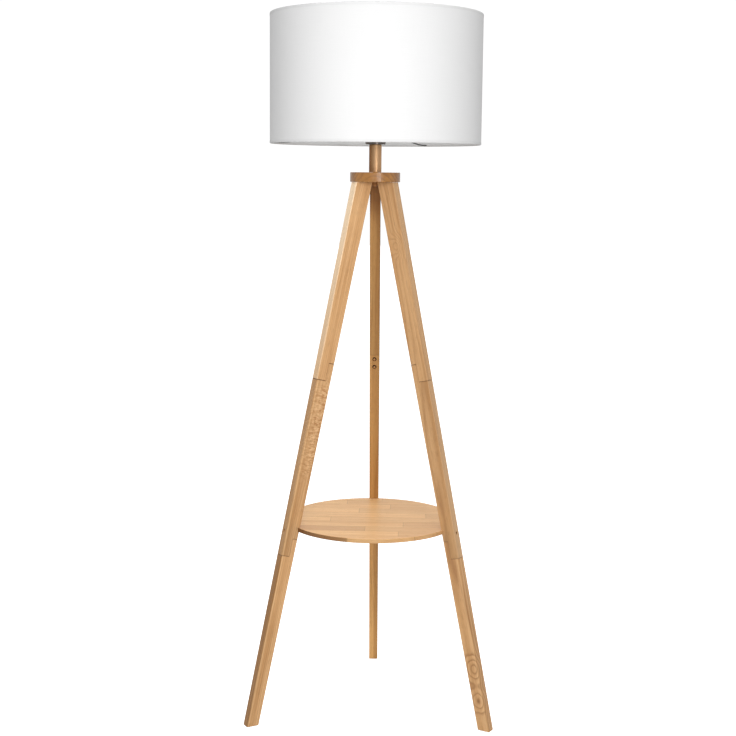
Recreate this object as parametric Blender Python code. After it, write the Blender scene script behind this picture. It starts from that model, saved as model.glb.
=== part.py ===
"""Tripod floor lamp: three jointed wooden legs, a round shelf, a copper neck and a drum shade.

Metres, +Z up, the floor at z = 0. The back leg points to +Y. The lamp's own axis stands at
y = AXIS_Y, so that the origin is in the middle of the whole lamp's footprint.
"""
import math

import bmesh
import bpy
from mathutils import Matrix, Vector

for leftover in list(bpy.data.objects):
    bpy.data.objects.remove(leftover, do_unlink=True)

# ---------------------------------------------------------------- driving dimensions
CLEARANCE = 0.0003            # gap left between two pieces that touch

LEG_HEIGHT = 1.164            # floor to the hub's underside
LEG_TOP_RADIUS = 0.0318       # lamp axis to the middle of a leg's top end
LEG_FOOT_RADIUS = 0.292       # lamp axis to the middle of a foot
LEG_DEPTH_TOP = 0.0380        # across the leg, in the plane that holds the lamp's axis
LEG_DEPTH_FOOT = 0.0268
LEG_WIDTH_TOP = 0.0228        # along the hub's edge
LEG_WIDTH_FOOT = 0.0200
LEG_EDGE_ROUND = 0.0014
FOOT_CHAMFER = 0.0008

LAP_HEIGHTS = (0.762, 0.386)  # middles of the upper and the lower lap joint
LAP_LENGTH = 0.038
LAP_INNER_SHARE = 0.38        # the part of the leg's depth that the inner tongue has
LAP_SCREW_SPACING = 0.0185
LAP_SCREW_RADIUS = 0.0025
LAP_SCREW_COVER = 0.00352     # wood left past a screw's tip at the lower lap
LAP_SCREW_HEAD_RADIUS = 0.0046
LAP_SCREW_HEAD_HEIGHT = 0.0026

SHELF_INTO_LEG = 0.00435      # how far the shelf's edge stands in a leg
SHELF_THICKNESS = 0.009
SHELF_TOP = 0.4272
SHELF_EDGE_ROUND = 0.0010
SHELF_SCREW_RADIUS = 0.0020
SHELF_SCREW_HEAD_RADIUS = 0.0034
SHELF_SCREW_HEAD_HEIGHT = 0.0024
SHELF_SCREW_LENGTH = 0.038
SHELF_SCREW_SINK = 0.009      # depth of the head's seat under the leg's outer face

HUB_OVERHANG = 0.0029         # past the legs' top ends
HUB_THICKNESS = 0.0205
HUB_EDGE_ROUND = 0.0012
HUB_BOLT_RADIUS = 0.0030
HUB_BOLT_HEAD_RADIUS = 0.0060
HUB_BOLT_REACH = 0.0155       # into the leg
INSERT_RADIUS = 0.0050
INSERT_LENGTH = 0.0140

ROD_RADIUS = 0.0050
ROD_BORE_RADIUS = 0.0034
ROD_NUT_FLATS = 0.0140
ROD_NUT_HEIGHT = 0.0045
ROD_WASHER_RADIUS = 0.0092
ROD_WASHER_THICKNESS = 0.0012
ROD_END = 0.0030              # thread left past the nut

NECK_RADIUS = 0.01335
NECK_WALL = 0.0012
NECK_LENGTH = 0.0585

SCREW_SHELL_RADIUS = 0.0144   # the socket that the bulb turns into
SCREW_SHELL_WALL = 0.0005
SCREW_SHELL_HEIGHT = 0.0240
SCREW_SHELL_GAP = 0.0026      # air between the socket and the holder's wall
HOLDER_WALL = 0.0020
HOLDER_SHOULDER_WIDTH = 0.0022
HOLDER_SHOULDER_HEIGHT = 0.0030
HOLDER_FLARE_WIDTH = 0.0026   # at the lower edge of the flared cap
HOLDER_FLARE_HEIGHT = 0.0045
HOLDER_CAP_HEIGHT = 0.0225
HOLDER_HEIGHT = 0.0580
ROD_INTO_HOLDER = 0.0080

CORE_HEIGHT = 0.0085
CONTACT_RADIUS = 0.0040
CONTACT_HEIGHT = 0.0020

KNOB_HEIGHT = 0.0145          # knob's axis above the holder's underside
KNOB_RADIUS = 0.0052
KNOB_LENGTH = 0.0120
KNOB_FLUTES = 12
SWITCH_SHAFT_RADIUS = 0.0020
SWITCH_SHAFT_START = 0.0090   # lamp axis to the shaft's inner end

CLAMP_RING_WIDTH = 0.0060     # past the holder's thread
CLAMP_RING_HEIGHT = 0.0080
FITTER_RING_LEDGE = 0.0040    # past the clamp ring
FITTER_RING_THICKNESS = 0.0015
FITTER_AZIMUTHS = (60, 180, 300)
WIRE_RADIUS = 0.0015

SHADE_RADIUS = 0.225
SHADE_HEIGHT = 0.2713
SHADE_WALL = 0.0010
SHADE_HEM_DEPTH = 0.0044      # how far the turned-in hem reaches
SHADE_BELOW_CAP = 0.0004      # shade's lower edge below the holder's underside

BULB_BASE_PLAY = 0.0007       # between the base and the socket
BULB_BASE_HEIGHT = 0.0240
BULB_NECK_STEP = 0.0010       # neck past the base
BULB_BODY_HEIGHT = 0.0340
BULB_BODY_RADIUS = 0.0240
BULB_GLOBE_RADIUS = 0.0300

RING_STEPS = 72               # sides of the large round pieces
TURN_STEPS = 32               # sides of the small round pieces
SCREW_STEPS = 16
LEG_AZIMUTHS = {"back": 90, "left": 210, "right": 330}

# ---------------------------------------------------------------- radii that follow
HUB_RADIUS = LEG_TOP_RADIUS + LEG_DEPTH_TOP / 2 + HUB_OVERHANG
HOLDER_THREAD_RADIUS = SCREW_SHELL_RADIUS + SCREW_SHELL_GAP + HOLDER_WALL
HOLDER_RADIUS = HOLDER_THREAD_RADIUS + HOLDER_SHOULDER_WIDTH
HOLDER_FOOT_RADIUS = HOLDER_RADIUS - HOLDER_FLARE_WIDTH
CLAMP_RING_RADIUS = HOLDER_THREAD_RADIUS + CLAMP_RING_WIDTH
FITTER_RING_RADIUS = CLAMP_RING_RADIUS + FITTER_RING_LEDGE
WIRE_RING_RADIUS = SHADE_RADIUS - SHADE_WALL - CLEARANCE - WIRE_RADIUS
BULB_BASE_RADIUS = SCREW_SHELL_RADIUS - SCREW_SHELL_WALL - BULB_BASE_PLAY
BULB_NECK_RADIUS = BULB_BASE_RADIUS + BULB_NECK_STEP

# ---------------------------------------------------------------- heights that follow
LEG_TOP = LEG_HEIGHT - CLEARANCE
HUB_TOP = LEG_HEIGHT + HUB_THICKNESS
HOLDER_BOTTOM = HUB_TOP + CLEARANCE + NECK_LENGTH + CLEARANCE
SHELL_BOTTOM = HOLDER_BOTTOM + HOLDER_CAP_HEIGHT + CLEARANCE
SHOULDER_TOP = SHELL_BOTTOM + HOLDER_SHOULDER_HEIGHT
FITTER_RING_BOTTOM = SHOULDER_TOP + CLEARANCE
SHADE_BOTTOM = HOLDER_BOTTOM - SHADE_BELOW_CAP
LOWER_WIRE_Z = SHADE_BOTTOM + SHADE_WALL + CLEARANCE + WIRE_RADIUS
UPPER_WIRE_Z = SHADE_BOTTOM + SHADE_HEIGHT - SHADE_WALL - CLEARANCE - WIRE_RADIUS
CORE_TOP = SHELL_BOTTOM + CORE_HEIGHT
BULB_BOTTOM = CORE_TOP + CLEARANCE + CONTACT_HEIGHT + CLEARANCE
AXIS_Y = -(LEG_FOOT_RADIUS + LEG_DEPTH_FOOT / 2 - SHADE_RADIUS) / 2


# ---------------------------------------------------------------- making and placing
def material(name, colour, roughness, metallic=0.0, alpha=1.0):
    """A plain Principled material."""
    made = bpy.data.materials.new(name)
    made.use_nodes = True
    made.diffuse_color = (*colour, alpha)
    shader = made.node_tree.nodes["Principled BSDF"]
    shader.inputs["Base Color"].default_value = (*colour, 1.0)
    shader.inputs["Roughness"].default_value = roughness
    shader.inputs["Metallic"].default_value = metallic
    shader.inputs["Alpha"].default_value = alpha
    return made


def empty(name, parent=None, location=(0, 0, 0), turn_z=0.0):
    """A frame that pieces hang from, turned by turn_z degrees about Z."""
    frame = bpy.data.objects.new(name, None)
    bpy.context.collection.objects.link(frame)
    frame.parent = parent
    frame.location = location
    frame.rotation_euler.z = math.radians(turn_z)
    return frame


def piece(name, mesh, look, parent, location=(0, 0, 0), rotation=(0, 0, 0)):
    """One sub-part: a named object with its mesh, its material and its place."""
    made = bpy.data.objects.new(name, mesh)
    bpy.context.collection.objects.link(made)
    made.parent = parent
    made.location = location
    made.rotation_euler = rotation
    if not mesh.materials:
        mesh.materials.append(look)
    return made


def finished_mesh(shape, name):
    """Turn a bmesh into a mesh with outward normals, smooth where it is round."""
    bmesh.ops.remove_doubles(shape, verts=shape.verts, dist=1e-6)
    bmesh.ops.recalc_face_normals(shape, faces=shape.faces)
    mesh = bpy.data.meshes.new(name)
    shape.to_mesh(mesh)
    shape.free()
    mesh.shade_smooth()
    mesh.set_sharp_from_angle(angle=math.radians(35))
    return mesh


def turned(name, outline, steps=TURN_STEPS, ring=False):
    """Turn (radius, height) points about Z; a ring's outline closes on itself."""
    shape = bmesh.new()
    points = [shape.verts.new((radius, 0, height)) for radius, height in outline]
    following = points[1:] + points[:1] if ring else points[1:]
    edges = [shape.edges.new(pair) for pair in zip(points, following)]
    bmesh.ops.spin(shape, geom=points + edges, cent=(0, 0, 0), axis=(0, 0, 1),
                   angle=math.tau, steps=steps, use_merge=True)
    return finished_mesh(shape, name)


def bar(name, start, end, radius, steps=SCREW_STEPS, end_radius=None):
    """A round bar or cone between two points."""
    start, end = Vector(start), Vector(end)
    run = end - start
    shape = bmesh.new()
    placed = Matrix.Translation((start + end) / 2) @ run.to_track_quat("Z", "Y").to_matrix().to_4x4()
    bmesh.ops.create_cone(shape, cap_ends=True, segments=steps, radius1=radius,
                          radius2=radius if end_radius is None else end_radius,
                          depth=run.length, matrix=placed)
    return finished_mesh(shape, name)


def combined(name, mesh, tools, operation):
    """The mesh after an exact Boolean with each tool mesh in turn."""
    helpers = []
    for shape in [mesh] + tools:
        helper = bpy.data.objects.new("helper", shape)
        bpy.context.collection.objects.link(helper)
        helpers.append(helper)
    for tool in helpers[1:]:
        step = helpers[0].modifiers.new("step", "BOOLEAN")
        step.operation = operation
        step.solver = "EXACT"
        step.object = tool
    view = bpy.context.evaluated_depsgraph_get()
    result = bpy.data.meshes.new_from_object(helpers[0].evaluated_get(view))
    for helper in helpers:
        bpy.data.objects.remove(helper, do_unlink=True)
    result.name = name
    return result


def arc(centre, radius, first, last, count):
    """Points on an arc from first to last degrees, both ends included."""
    angles = [math.radians(first + (last - first) * i / count) for i in range(count + 1)]
    return [(centre[0] + radius * math.cos(a), centre[1] + radius * math.sin(a)) for a in angles]


def rounded_disc(radius, bottom, top, edge_round, count=2):
    """Outline of a disc on the axis with both outer edges rounded."""
    inset = radius - edge_round
    lower = arc((inset, bottom + edge_round), edge_round, -90, 0, count)
    upper = arc((inset, top - edge_round), edge_round, 0, 90, count)
    return [(0, bottom)] + lower + upper + [(0, top)]


def torus(name, radius, height, wire_radius, sides=6):
    """A wire ring about Z."""
    section = arc((radius, height), wire_radius, 0, 360 - 360 / sides, sides - 1)
    return turned(name, section, RING_STEPS, ring=True)


# ---------------------------------------------------------------- materials
OAK = material("leg_wood", (0.58, 0.34, 0.155), 0.45)
HUB_WOOD = material("hub_wood", (0.46, 0.24, 0.10), 0.38)
SHELF_WOOD = material("shelf_wood", (0.66, 0.41, 0.21), 0.42)
COPPER = material("copper", (0.68, 0.40, 0.24), 0.28, metallic=1.0)
BLACK_SCREW = material("black_screw", (0.03, 0.028, 0.026), 0.35, metallic=0.8)
ZINC = material("zinc", (0.62, 0.62, 0.60), 0.35, metallic=1.0)
BRASS = material("brass", (0.78, 0.58, 0.25), 0.32, metallic=1.0)
HOLDER_BLACK = material("holder_black", (0.012, 0.010, 0.010), 0.14)
PORCELAIN = material("porcelain", (0.80, 0.79, 0.75), 0.30)
WIRE = material("fitter_wire", (0.10, 0.10, 0.10), 0.35, metallic=0.9)
SHADE_CLOTH = material("shade_cloth", (0.88, 0.88, 0.88), 0.85)
BULB_PLASTIC = material("bulb_plastic", (0.86, 0.86, 0.84), 0.40)
BULB_GLOBE = material("bulb_globe", (0.92, 0.92, 0.90), 0.45)

lamp = empty("lamp_axis", location=(0, AXIS_Y, 0))
legs = {name: empty("leg_" + name, lamp, turn_z=azimuth) for name, azimuth in LEG_AZIMUTHS.items()}

# ---------------------------------------------------------------- leg geometry
# A leg's frame has X outward from the lamp's axis and Z up. "along" runs up the leg's centre
# line from the foot, and "across" runs outward at right angles to it.
LEG_RUN = Vector((LEG_TOP_RADIUS - LEG_FOOT_RADIUS, 0, LEG_TOP))
LEG_LENGTH = LEG_RUN.length
ALONG = LEG_RUN.normalized()
ACROSS = Vector((ALONG.z, 0, -ALONG.x))
FOOT = Vector((LEG_FOOT_RADIUS, 0, 0))
TAPER = (LEG_DEPTH_TOP - LEG_DEPTH_FOOT) / LEG_LENGTH


def leg_depth(along):
    """The leg's size across its centre line."""
    return LEG_DEPTH_FOOT + TAPER * along


def leg_width(along):
    """The leg's size along the hub's edge."""
    return LEG_WIDTH_FOOT + (LEG_WIDTH_TOP - LEG_WIDTH_FOOT) * along / LEG_LENGTH


def leg_point(along, across, side=0.0):
    """A point in the leg's frame; side is -1 or 1 on a side face and 0 in the middle."""
    return FOOT + ALONG * along + ACROSS * across + Vector((0, side * leg_width(along) / 2, 0))


def face_at(side, along):
    """(along, across) on the outer face (side 1) or the inner face (side -1)."""
    return along, side * leg_depth(along) / 2


def face_at_height(side, height):
    """(along, across) where the outer or inner face passes a height."""
    along = (height - side * LEG_DEPTH_FOOT / 2 * ACROSS.z) / (ALONG.z + side * TAPER / 2 * ACROSS.z)
    return face_at(side, along)


def lap(height):
    """A lap joint's ends along the leg and the line that splits its two tongues."""
    middle = height / ALONG.z
    split = (LAP_INNER_SHARE - 0.5) * leg_depth(middle)
    return middle - LAP_LENGTH / 2, middle + LAP_LENGTH / 2, split


def outer_tongue(height):
    """Lower end of the section above a lap, from its outer face to its inner face."""
    low, high, split = lap(height)
    low, high, split = low + CLEARANCE / 2, high + CLEARANCE / 2, split + CLEARANCE / 2
    return [face_at(1, low), (low, split), (high, split), face_at(-1, high)]


def inner_tongue(height):
    """Upper end of the section below a lap, from its inner face to its outer face."""
    low, high, split = lap(height)
    low, high, split = low - CLEARANCE / 2, high - CLEARANCE / 2, split - CLEARANCE / 2
    return [face_at(-1, high), (high, split), (low, split), face_at(1, low)]


def leg_section(name, upper_end, lower_end, on_floor=False):
    """A tapered length of leg between two ends, with its four long edges rounded.

    upper_end runs from the inner to the outer face and lower_end runs back.
    """
    outline = upper_end + lower_end
    shape = bmesh.new()
    sides = {s: [shape.verts.new(leg_point(a, c, s)) for a, c in outline] for s in (-1, 1)}
    for corners in sides.values():
        shape.faces.new(corners)
    for i in range(len(outline)):
        shape.faces.new((sides[-1][i - 1], sides[-1][i], sides[1][i], sides[1][i - 1]))
    bmesh.ops.recalc_face_normals(shape, faces=shape.faces)
    turn = len(upper_end)
    long_edges = [shape.edges.get((corners[i - 1], corners[i]))
                  for corners in sides.values() for i in (0, turn)]
    bmesh.ops.bevel(shape, geom=long_edges, offset=LEG_EDGE_ROUND, segments=2, profile=0.5,
                    affect="EDGES")
    if on_floor:
        sole = [edge for edge in shape.edges if all(abs(v.co.z) < 1e-7 for v in edge.verts)]
        bmesh.ops.bevel(shape, geom=sole, offset=FOOT_CHAMFER, segments=1, affect="EDGES")
    return finished_mesh(shape, name)


LAP_SCREW_LENGTH = leg_depth(LAP_HEIGHTS[1] / ALONG.z) - LAP_SCREW_COVER


def lap_screw_places(height):
    """Distances along the leg of a lap joint's two screws."""
    middle = height / ALONG.z
    return middle - LAP_SCREW_SPACING / 2, middle + LAP_SCREW_SPACING / 2


def lap_screw_holes(height):
    """Bores for a lap joint's screws, from inside the inner face to a blind end."""
    bores = []
    for along in lap_screw_places(height):
        inner = -leg_depth(along) / 2
        start = leg_point(along, inner - CLEARANCE - LAP_SCREW_HEAD_HEIGHT)
        end = leg_point(along, inner + LAP_SCREW_LENGTH + 2 * CLEARANCE)
        bores.append(bar("bore", start, end, LAP_SCREW_RADIUS + CLEARANCE))
    return bores


# ---------------------------------------------------------------- leg sections
UPPER_LAP, LOWER_LAP = LAP_HEIGHTS
SHELF_MIDDLE = SHELF_TOP - SHELF_THICKNESS / 2


def upright(radius, bottom, top, steps=SCREW_STEPS):
    """A bore over a leg's top end, parallel to the lamp's axis."""
    return bar("bore", (LEG_TOP_RADIUS, 0, bottom), (LEG_TOP_RADIUS, 0, top), radius, steps)


def face_radius(side, height):
    """Distance from the lamp's axis to the leg's outer or inner face at a height."""
    return leg_point(*face_at_height(side, height)).x


SHELF_RADIUS = face_radius(-1, SHELF_MIDDLE) + SHELF_INTO_LEG
SHELF_SCREW_SEAT = face_radius(1, SHELF_MIDDLE) - SHELF_SCREW_SINK
bolt_tip = LEG_HEIGHT - HUB_BOLT_REACH
insert_hole = upright(INSERT_RADIUS + CLEARANCE, LEG_TOP - INSERT_LENGTH - 2 * CLEARANCE,
                      LEG_TOP + CLEARANCE)
bolt_hole = upright(HUB_BOLT_RADIUS + CLEARANCE, bolt_tip - 2 * CLEARANCE, LEG_TOP + CLEARANCE)

upper = leg_section("upper", [face_at_height(-1, LEG_TOP), face_at_height(1, LEG_TOP)],
                    outer_tongue(UPPER_LAP))
upper = combined("leg_upper", upper, [insert_hole, bolt_hole] + lap_screw_holes(UPPER_LAP), "DIFFERENCE")

shelf_notch = turned("notch", [(0, SHELF_TOP - SHELF_THICKNESS - CLEARANCE),
                               (SHELF_RADIUS + CLEARANCE, SHELF_TOP - SHELF_THICKNESS - CLEARANCE),
                               (SHELF_RADIUS + CLEARANCE, SHELF_TOP + CLEARANCE),
                               (0, SHELF_TOP + CLEARANCE)], RING_STEPS)
shelf_screw_hole = bar("bore", (SHELF_RADIUS - CLEARANCE, 0, SHELF_MIDDLE),
                       (SHELF_SCREW_SEAT + CLEARANCE, 0, SHELF_MIDDLE), SHELF_SCREW_RADIUS + CLEARANCE)
shelf_screw_seat = bar("bore", (SHELF_SCREW_SEAT, 0, SHELF_MIDDLE),
                       (SHELF_SCREW_SEAT + 2 * SHELF_SCREW_SINK, 0, SHELF_MIDDLE),
                       SHELF_SCREW_HEAD_RADIUS + CLEARANCE)
middle = leg_section("middle", inner_tongue(UPPER_LAP), outer_tongue(LOWER_LAP))
middle = combined("leg_middle", middle,
                  [shelf_notch, shelf_screw_hole, shelf_screw_seat]
                  + lap_screw_holes(UPPER_LAP) + lap_screw_holes(LOWER_LAP), "DIFFERENCE")

lower = leg_section("lower", inner_tongue(LOWER_LAP), [face_at_height(1, 0), face_at_height(-1, 0)],
                    on_floor=True)
lower = combined("leg_lower", lower, lap_screw_holes(LOWER_LAP), "DIFFERENCE")

for name, frame in legs.items():
    piece("leg_upper_" + name, upper, OAK, frame)
    piece("leg_middle_" + name, middle, OAK, frame)
    piece("leg_lower_" + name, lower, OAK, frame)


# ---------------------------------------------------------------- lap screws
# Domed head under z = 0, shank up to the tip, hexagonal socket in the head.
def hex_socket(name, radius, top, bottom):
    """A hexagonal prism that cuts a socket."""
    return bar(name, (0, 0, top), (0, 0, bottom), radius, steps=6)


dome = [(LAP_SCREW_HEAD_RADIUS * math.sin(math.radians(a)),
         -CLEARANCE - LAP_SCREW_HEAD_HEIGHT * math.cos(math.radians(a))) for a in (0, 30, 60, 80)]
lap_screw = turned("lap_screw", dome + [
    (LAP_SCREW_HEAD_RADIUS, -CLEARANCE),
    (LAP_SCREW_RADIUS, -CLEARANCE),
    (LAP_SCREW_RADIUS, LAP_SCREW_LENGTH - 1.5 * LAP_SCREW_RADIUS),
    (0, LAP_SCREW_LENGTH)], SCREW_STEPS)
socket = hex_socket("socket", LAP_SCREW_RADIUS * 0.75, -2 * LAP_SCREW_HEAD_HEIGHT,
                    -0.35 * LAP_SCREW_HEAD_HEIGHT)
lap_screw = combined("lap_screw", lap_screw, [socket], "DIFFERENCE")
SCREW_TILT = math.atan2(ACROSS.x, ACROSS.z)

for name, frame in legs.items():
    for lap_name, height in (("upper", UPPER_LAP), ("lower", LOWER_LAP)):
        for end, along in zip(("low", "high"), lap_screw_places(height)):
            seat = leg_point(along, -leg_depth(along) / 2)
            piece(f"lap_screw_{lap_name}_{name}_{end}", lap_screw, BLACK_SCREW, frame, seat,
                  (0, SCREW_TILT, 0))

# ---------------------------------------------------------------- shelf and its screws
shelf_pilots = [bar("bore", direction * (SHELF_SCREW_SEAT - SHELF_SCREW_LENGTH - 2 * CLEARANCE) + level,
                    direction * (SHELF_RADIUS + SHELF_EDGE_ROUND) + level,
                    SHELF_SCREW_RADIUS + CLEARANCE)
                for level in [Vector((0, 0, SHELF_MIDDLE))]
                for direction in [Vector((math.cos(math.radians(a)), math.sin(math.radians(a)), 0))
                                  for a in LEG_AZIMUTHS.values()]]
shelf = turned("shelf", rounded_disc(SHELF_RADIUS, SHELF_TOP - SHELF_THICKNESS, SHELF_TOP,
                                     SHELF_EDGE_ROUND), RING_STEPS)
piece("shelf", combined("shelf", shelf, shelf_pilots, "DIFFERENCE"), SHELF_WOOD, lamp)

shelf_screw = turned("shelf_screw", [
    (0, -SHELF_SCREW_HEAD_HEIGHT - CLEARANCE),
    (SHELF_SCREW_HEAD_RADIUS, -SHELF_SCREW_HEAD_HEIGHT - CLEARANCE),
    (SHELF_SCREW_HEAD_RADIUS, -CLEARANCE),
    (SHELF_SCREW_RADIUS, -CLEARANCE),
    (SHELF_SCREW_RADIUS, SHELF_SCREW_LENGTH - 2 * SHELF_SCREW_RADIUS),
    (0, SHELF_SCREW_LENGTH)], SCREW_STEPS)
socket = hex_socket("socket", SHELF_SCREW_RADIUS * 0.8, -2 * SHELF_SCREW_HEAD_HEIGHT,
                    -0.5 * SHELF_SCREW_HEAD_HEIGHT)
shelf_screw = combined("shelf_screw", shelf_screw, [socket], "DIFFERENCE")
for name, frame in legs.items():
    piece("shelf_screw_" + name, shelf_screw, BLACK_SCREW, frame,
          (SHELF_SCREW_SEAT, 0, SHELF_MIDDLE), (0, math.radians(-90), 0))

# ---------------------------------------------------------------- hub, its bolts and inserts
# The bolts' countersunk heads lie just under the hub's top face.
BOLT_HEAD_TOP = HUB_TOP - CLEARANCE
BOLT_HEAD_HEIGHT = HUB_BOLT_HEAD_RADIUS - HUB_BOLT_RADIUS
hub_cuts = [bar("bore", (0, 0, LEG_HEIGHT - CLEARANCE), (0, 0, HUB_TOP + CLEARANCE),
                ROD_RADIUS + CLEARANCE)]
for azimuth in LEG_AZIMUTHS.values():
    turn = Matrix.Rotation(math.radians(azimuth), 4, "Z")
    through = upright(HUB_BOLT_RADIUS + CLEARANCE, LEG_HEIGHT - CLEARANCE, HUB_TOP + CLEARANCE)
    countersink = bar("bore", (LEG_TOP_RADIUS, 0, BOLT_HEAD_TOP - BOLT_HEAD_HEIGHT - CLEARANCE),
                      (LEG_TOP_RADIUS, 0, HUB_TOP + CLEARANCE), HUB_BOLT_RADIUS + CLEARANCE,
                      end_radius=HUB_BOLT_HEAD_RADIUS + 3 * CLEARANCE)
    for cut in (through, countersink):
        cut.transform(turn)
        hub_cuts.append(cut)
hub = turned("hub", rounded_disc(HUB_RADIUS, LEG_HEIGHT, HUB_TOP, HUB_EDGE_ROUND), RING_STEPS)
piece("hub_disc", combined("hub", hub, hub_cuts, "DIFFERENCE"), HUB_WOOD, lamp)

hub_bolt = turned("hub_bolt", [
    (0, bolt_tip), (HUB_BOLT_RADIUS, bolt_tip),
    (HUB_BOLT_RADIUS, BOLT_HEAD_TOP - BOLT_HEAD_HEIGHT),
    (HUB_BOLT_HEAD_RADIUS, BOLT_HEAD_TOP), (0, BOLT_HEAD_TOP)], SCREW_STEPS)
socket = hex_socket("socket", HUB_BOLT_RADIUS * 0.75, BOLT_HEAD_TOP + CLEARANCE,
                    BOLT_HEAD_TOP - 0.8 * BOLT_HEAD_HEIGHT)
hub_bolt = combined("hub_bolt", hub_bolt, [socket], "DIFFERENCE")
insert_bottom = LEG_TOP - CLEARANCE - INSERT_LENGTH
insert = turned("insert", [
    (HUB_BOLT_RADIUS + CLEARANCE, insert_bottom), (INSERT_RADIUS, insert_bottom),
    (INSERT_RADIUS, LEG_TOP - CLEARANCE), (HUB_BOLT_RADIUS + CLEARANCE, LEG_TOP - CLEARANCE)],
    SCREW_STEPS, ring=True)
for name, frame in legs.items():
    piece("hub_bolt_" + name, hub_bolt, ZINC, frame, (LEG_TOP_RADIUS, 0, 0))
    piece("hub_insert_" + name, insert, BRASS, frame, (LEG_TOP_RADIUS, 0, 0))

# ---------------------------------------------------------------- hollow rod, washer and nut
washer_top = LEG_HEIGHT - CLEARANCE
nut_top = washer_top - ROD_WASHER_THICKNESS - CLEARANCE
rod_bottom = nut_top - ROD_NUT_HEIGHT - ROD_END
rod_top = HOLDER_BOTTOM + ROD_INTO_HOLDER
piece("threaded_rod", turned("rod", [
    (ROD_BORE_RADIUS, rod_bottom), (ROD_RADIUS, rod_bottom),
    (ROD_RADIUS, rod_top), (ROD_BORE_RADIUS, rod_top)], SCREW_STEPS, ring=True), ZINC, lamp)
piece("rod_washer", turned("washer", [
    (ROD_RADIUS + CLEARANCE, washer_top - ROD_WASHER_THICKNESS),
    (ROD_WASHER_RADIUS, washer_top - ROD_WASHER_THICKNESS),
    (ROD_WASHER_RADIUS, washer_top), (ROD_RADIUS + CLEARANCE, washer_top)],
    ring=True), ZINC, lamp)
nut = bar("nut", (0, 0, nut_top - ROD_NUT_HEIGHT), (0, 0, nut_top),
          ROD_NUT_FLATS / 2 / math.cos(math.radians(30)), steps=6)
nut_bore = bar("bore", (0, 0, nut_top - 2 * ROD_NUT_HEIGHT), (0, 0, nut_top + CLEARANCE),
               ROD_RADIUS + CLEARANCE)
piece("rod_nut", combined("rod_nut", nut, [nut_bore], "DIFFERENCE"), ZINC, lamp)

# ---------------------------------------------------------------- neck tube
neck_bottom = HUB_TOP + CLEARANCE
neck_top = neck_bottom + NECK_LENGTH
piece("neck_tube", turned("neck", [
    (NECK_RADIUS - NECK_WALL, neck_bottom), (NECK_RADIUS, neck_bottom),
    (NECK_RADIUS, neck_top), (NECK_RADIUS - NECK_WALL, neck_top)], ring=True), COPPER, lamp)

# ---------------------------------------------------------------- lamp holder
# Cap: a flared cup with the rod through its floor and a hole in its side for the switch's
# shaft. Shell: a shoulder that the shade's fitter rests on, then the thread for its ring.
cap_top = HOLDER_BOTTOM + HOLDER_CAP_HEIGHT
cap_floor = HOLDER_BOTTOM + 1.5 * HOLDER_WALL
cap = turned("cap", [
    (ROD_RADIUS + CLEARANCE, HOLDER_BOTTOM), (HOLDER_FOOT_RADIUS - 0.0006, HOLDER_BOTTOM),
    (HOLDER_FOOT_RADIUS, HOLDER_BOTTOM + 0.0006),
    (HOLDER_RADIUS, HOLDER_BOTTOM + HOLDER_FLARE_HEIGHT),
    (HOLDER_RADIUS, cap_top), (HOLDER_RADIUS - HOLDER_WALL, cap_top),
    (HOLDER_RADIUS - HOLDER_WALL, HOLDER_BOTTOM + HOLDER_FLARE_HEIGHT),
    (HOLDER_FOOT_RADIUS - HOLDER_WALL, cap_floor), (ROD_RADIUS + CLEARANCE, cap_floor)],
    ring=True)
knob_level = HOLDER_BOTTOM + KNOB_HEIGHT
shaft_hole = bar("bore", (SWITCH_SHAFT_START, 0, knob_level), (2 * HOLDER_RADIUS, 0, knob_level),
                 SWITCH_SHAFT_RADIUS + CLEARANCE)
piece("holder_cap", combined("holder_cap", cap, [shaft_hole], "DIFFERENCE"), HOLDER_BLACK, lamp)

shell_top = HOLDER_BOTTOM + HOLDER_HEIGHT
shell_bore = HOLDER_THREAD_RADIUS - HOLDER_WALL
piece("holder_shell", turned("shell", [
    (shell_bore, SHELL_BOTTOM), (HOLDER_RADIUS, SHELL_BOTTOM),
    (HOLDER_RADIUS, SHOULDER_TOP), (HOLDER_THREAD_RADIUS, SHOULDER_TOP),
    (HOLDER_THREAD_RADIUS, shell_top), (shell_bore, shell_top)], ring=True), HOLDER_BLACK, lamp)

core_radius = shell_bore - CLEARANCE
piece("holder_core", turned("core", rounded_disc(core_radius, SHELL_BOTTOM, CORE_TOP, 0.0008)),
      PORCELAIN, lamp)
socket_floor = CORE_TOP + CLEARANCE
piece("screw_shell", turned("screw_shell", [
    (SCREW_SHELL_RADIUS - SCREW_SHELL_WALL, socket_floor), (SCREW_SHELL_RADIUS, socket_floor),
    (SCREW_SHELL_RADIUS, socket_floor + SCREW_SHELL_HEIGHT),
    (SCREW_SHELL_RADIUS - SCREW_SHELL_WALL, socket_floor + SCREW_SHELL_HEIGHT)], ring=True),
    BRASS, lamp)
piece("centre_contact", turned("contact", rounded_disc(
    CONTACT_RADIUS, socket_floor, socket_floor + CONTACT_HEIGHT, 0.0004)), BRASS, lamp)

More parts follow.
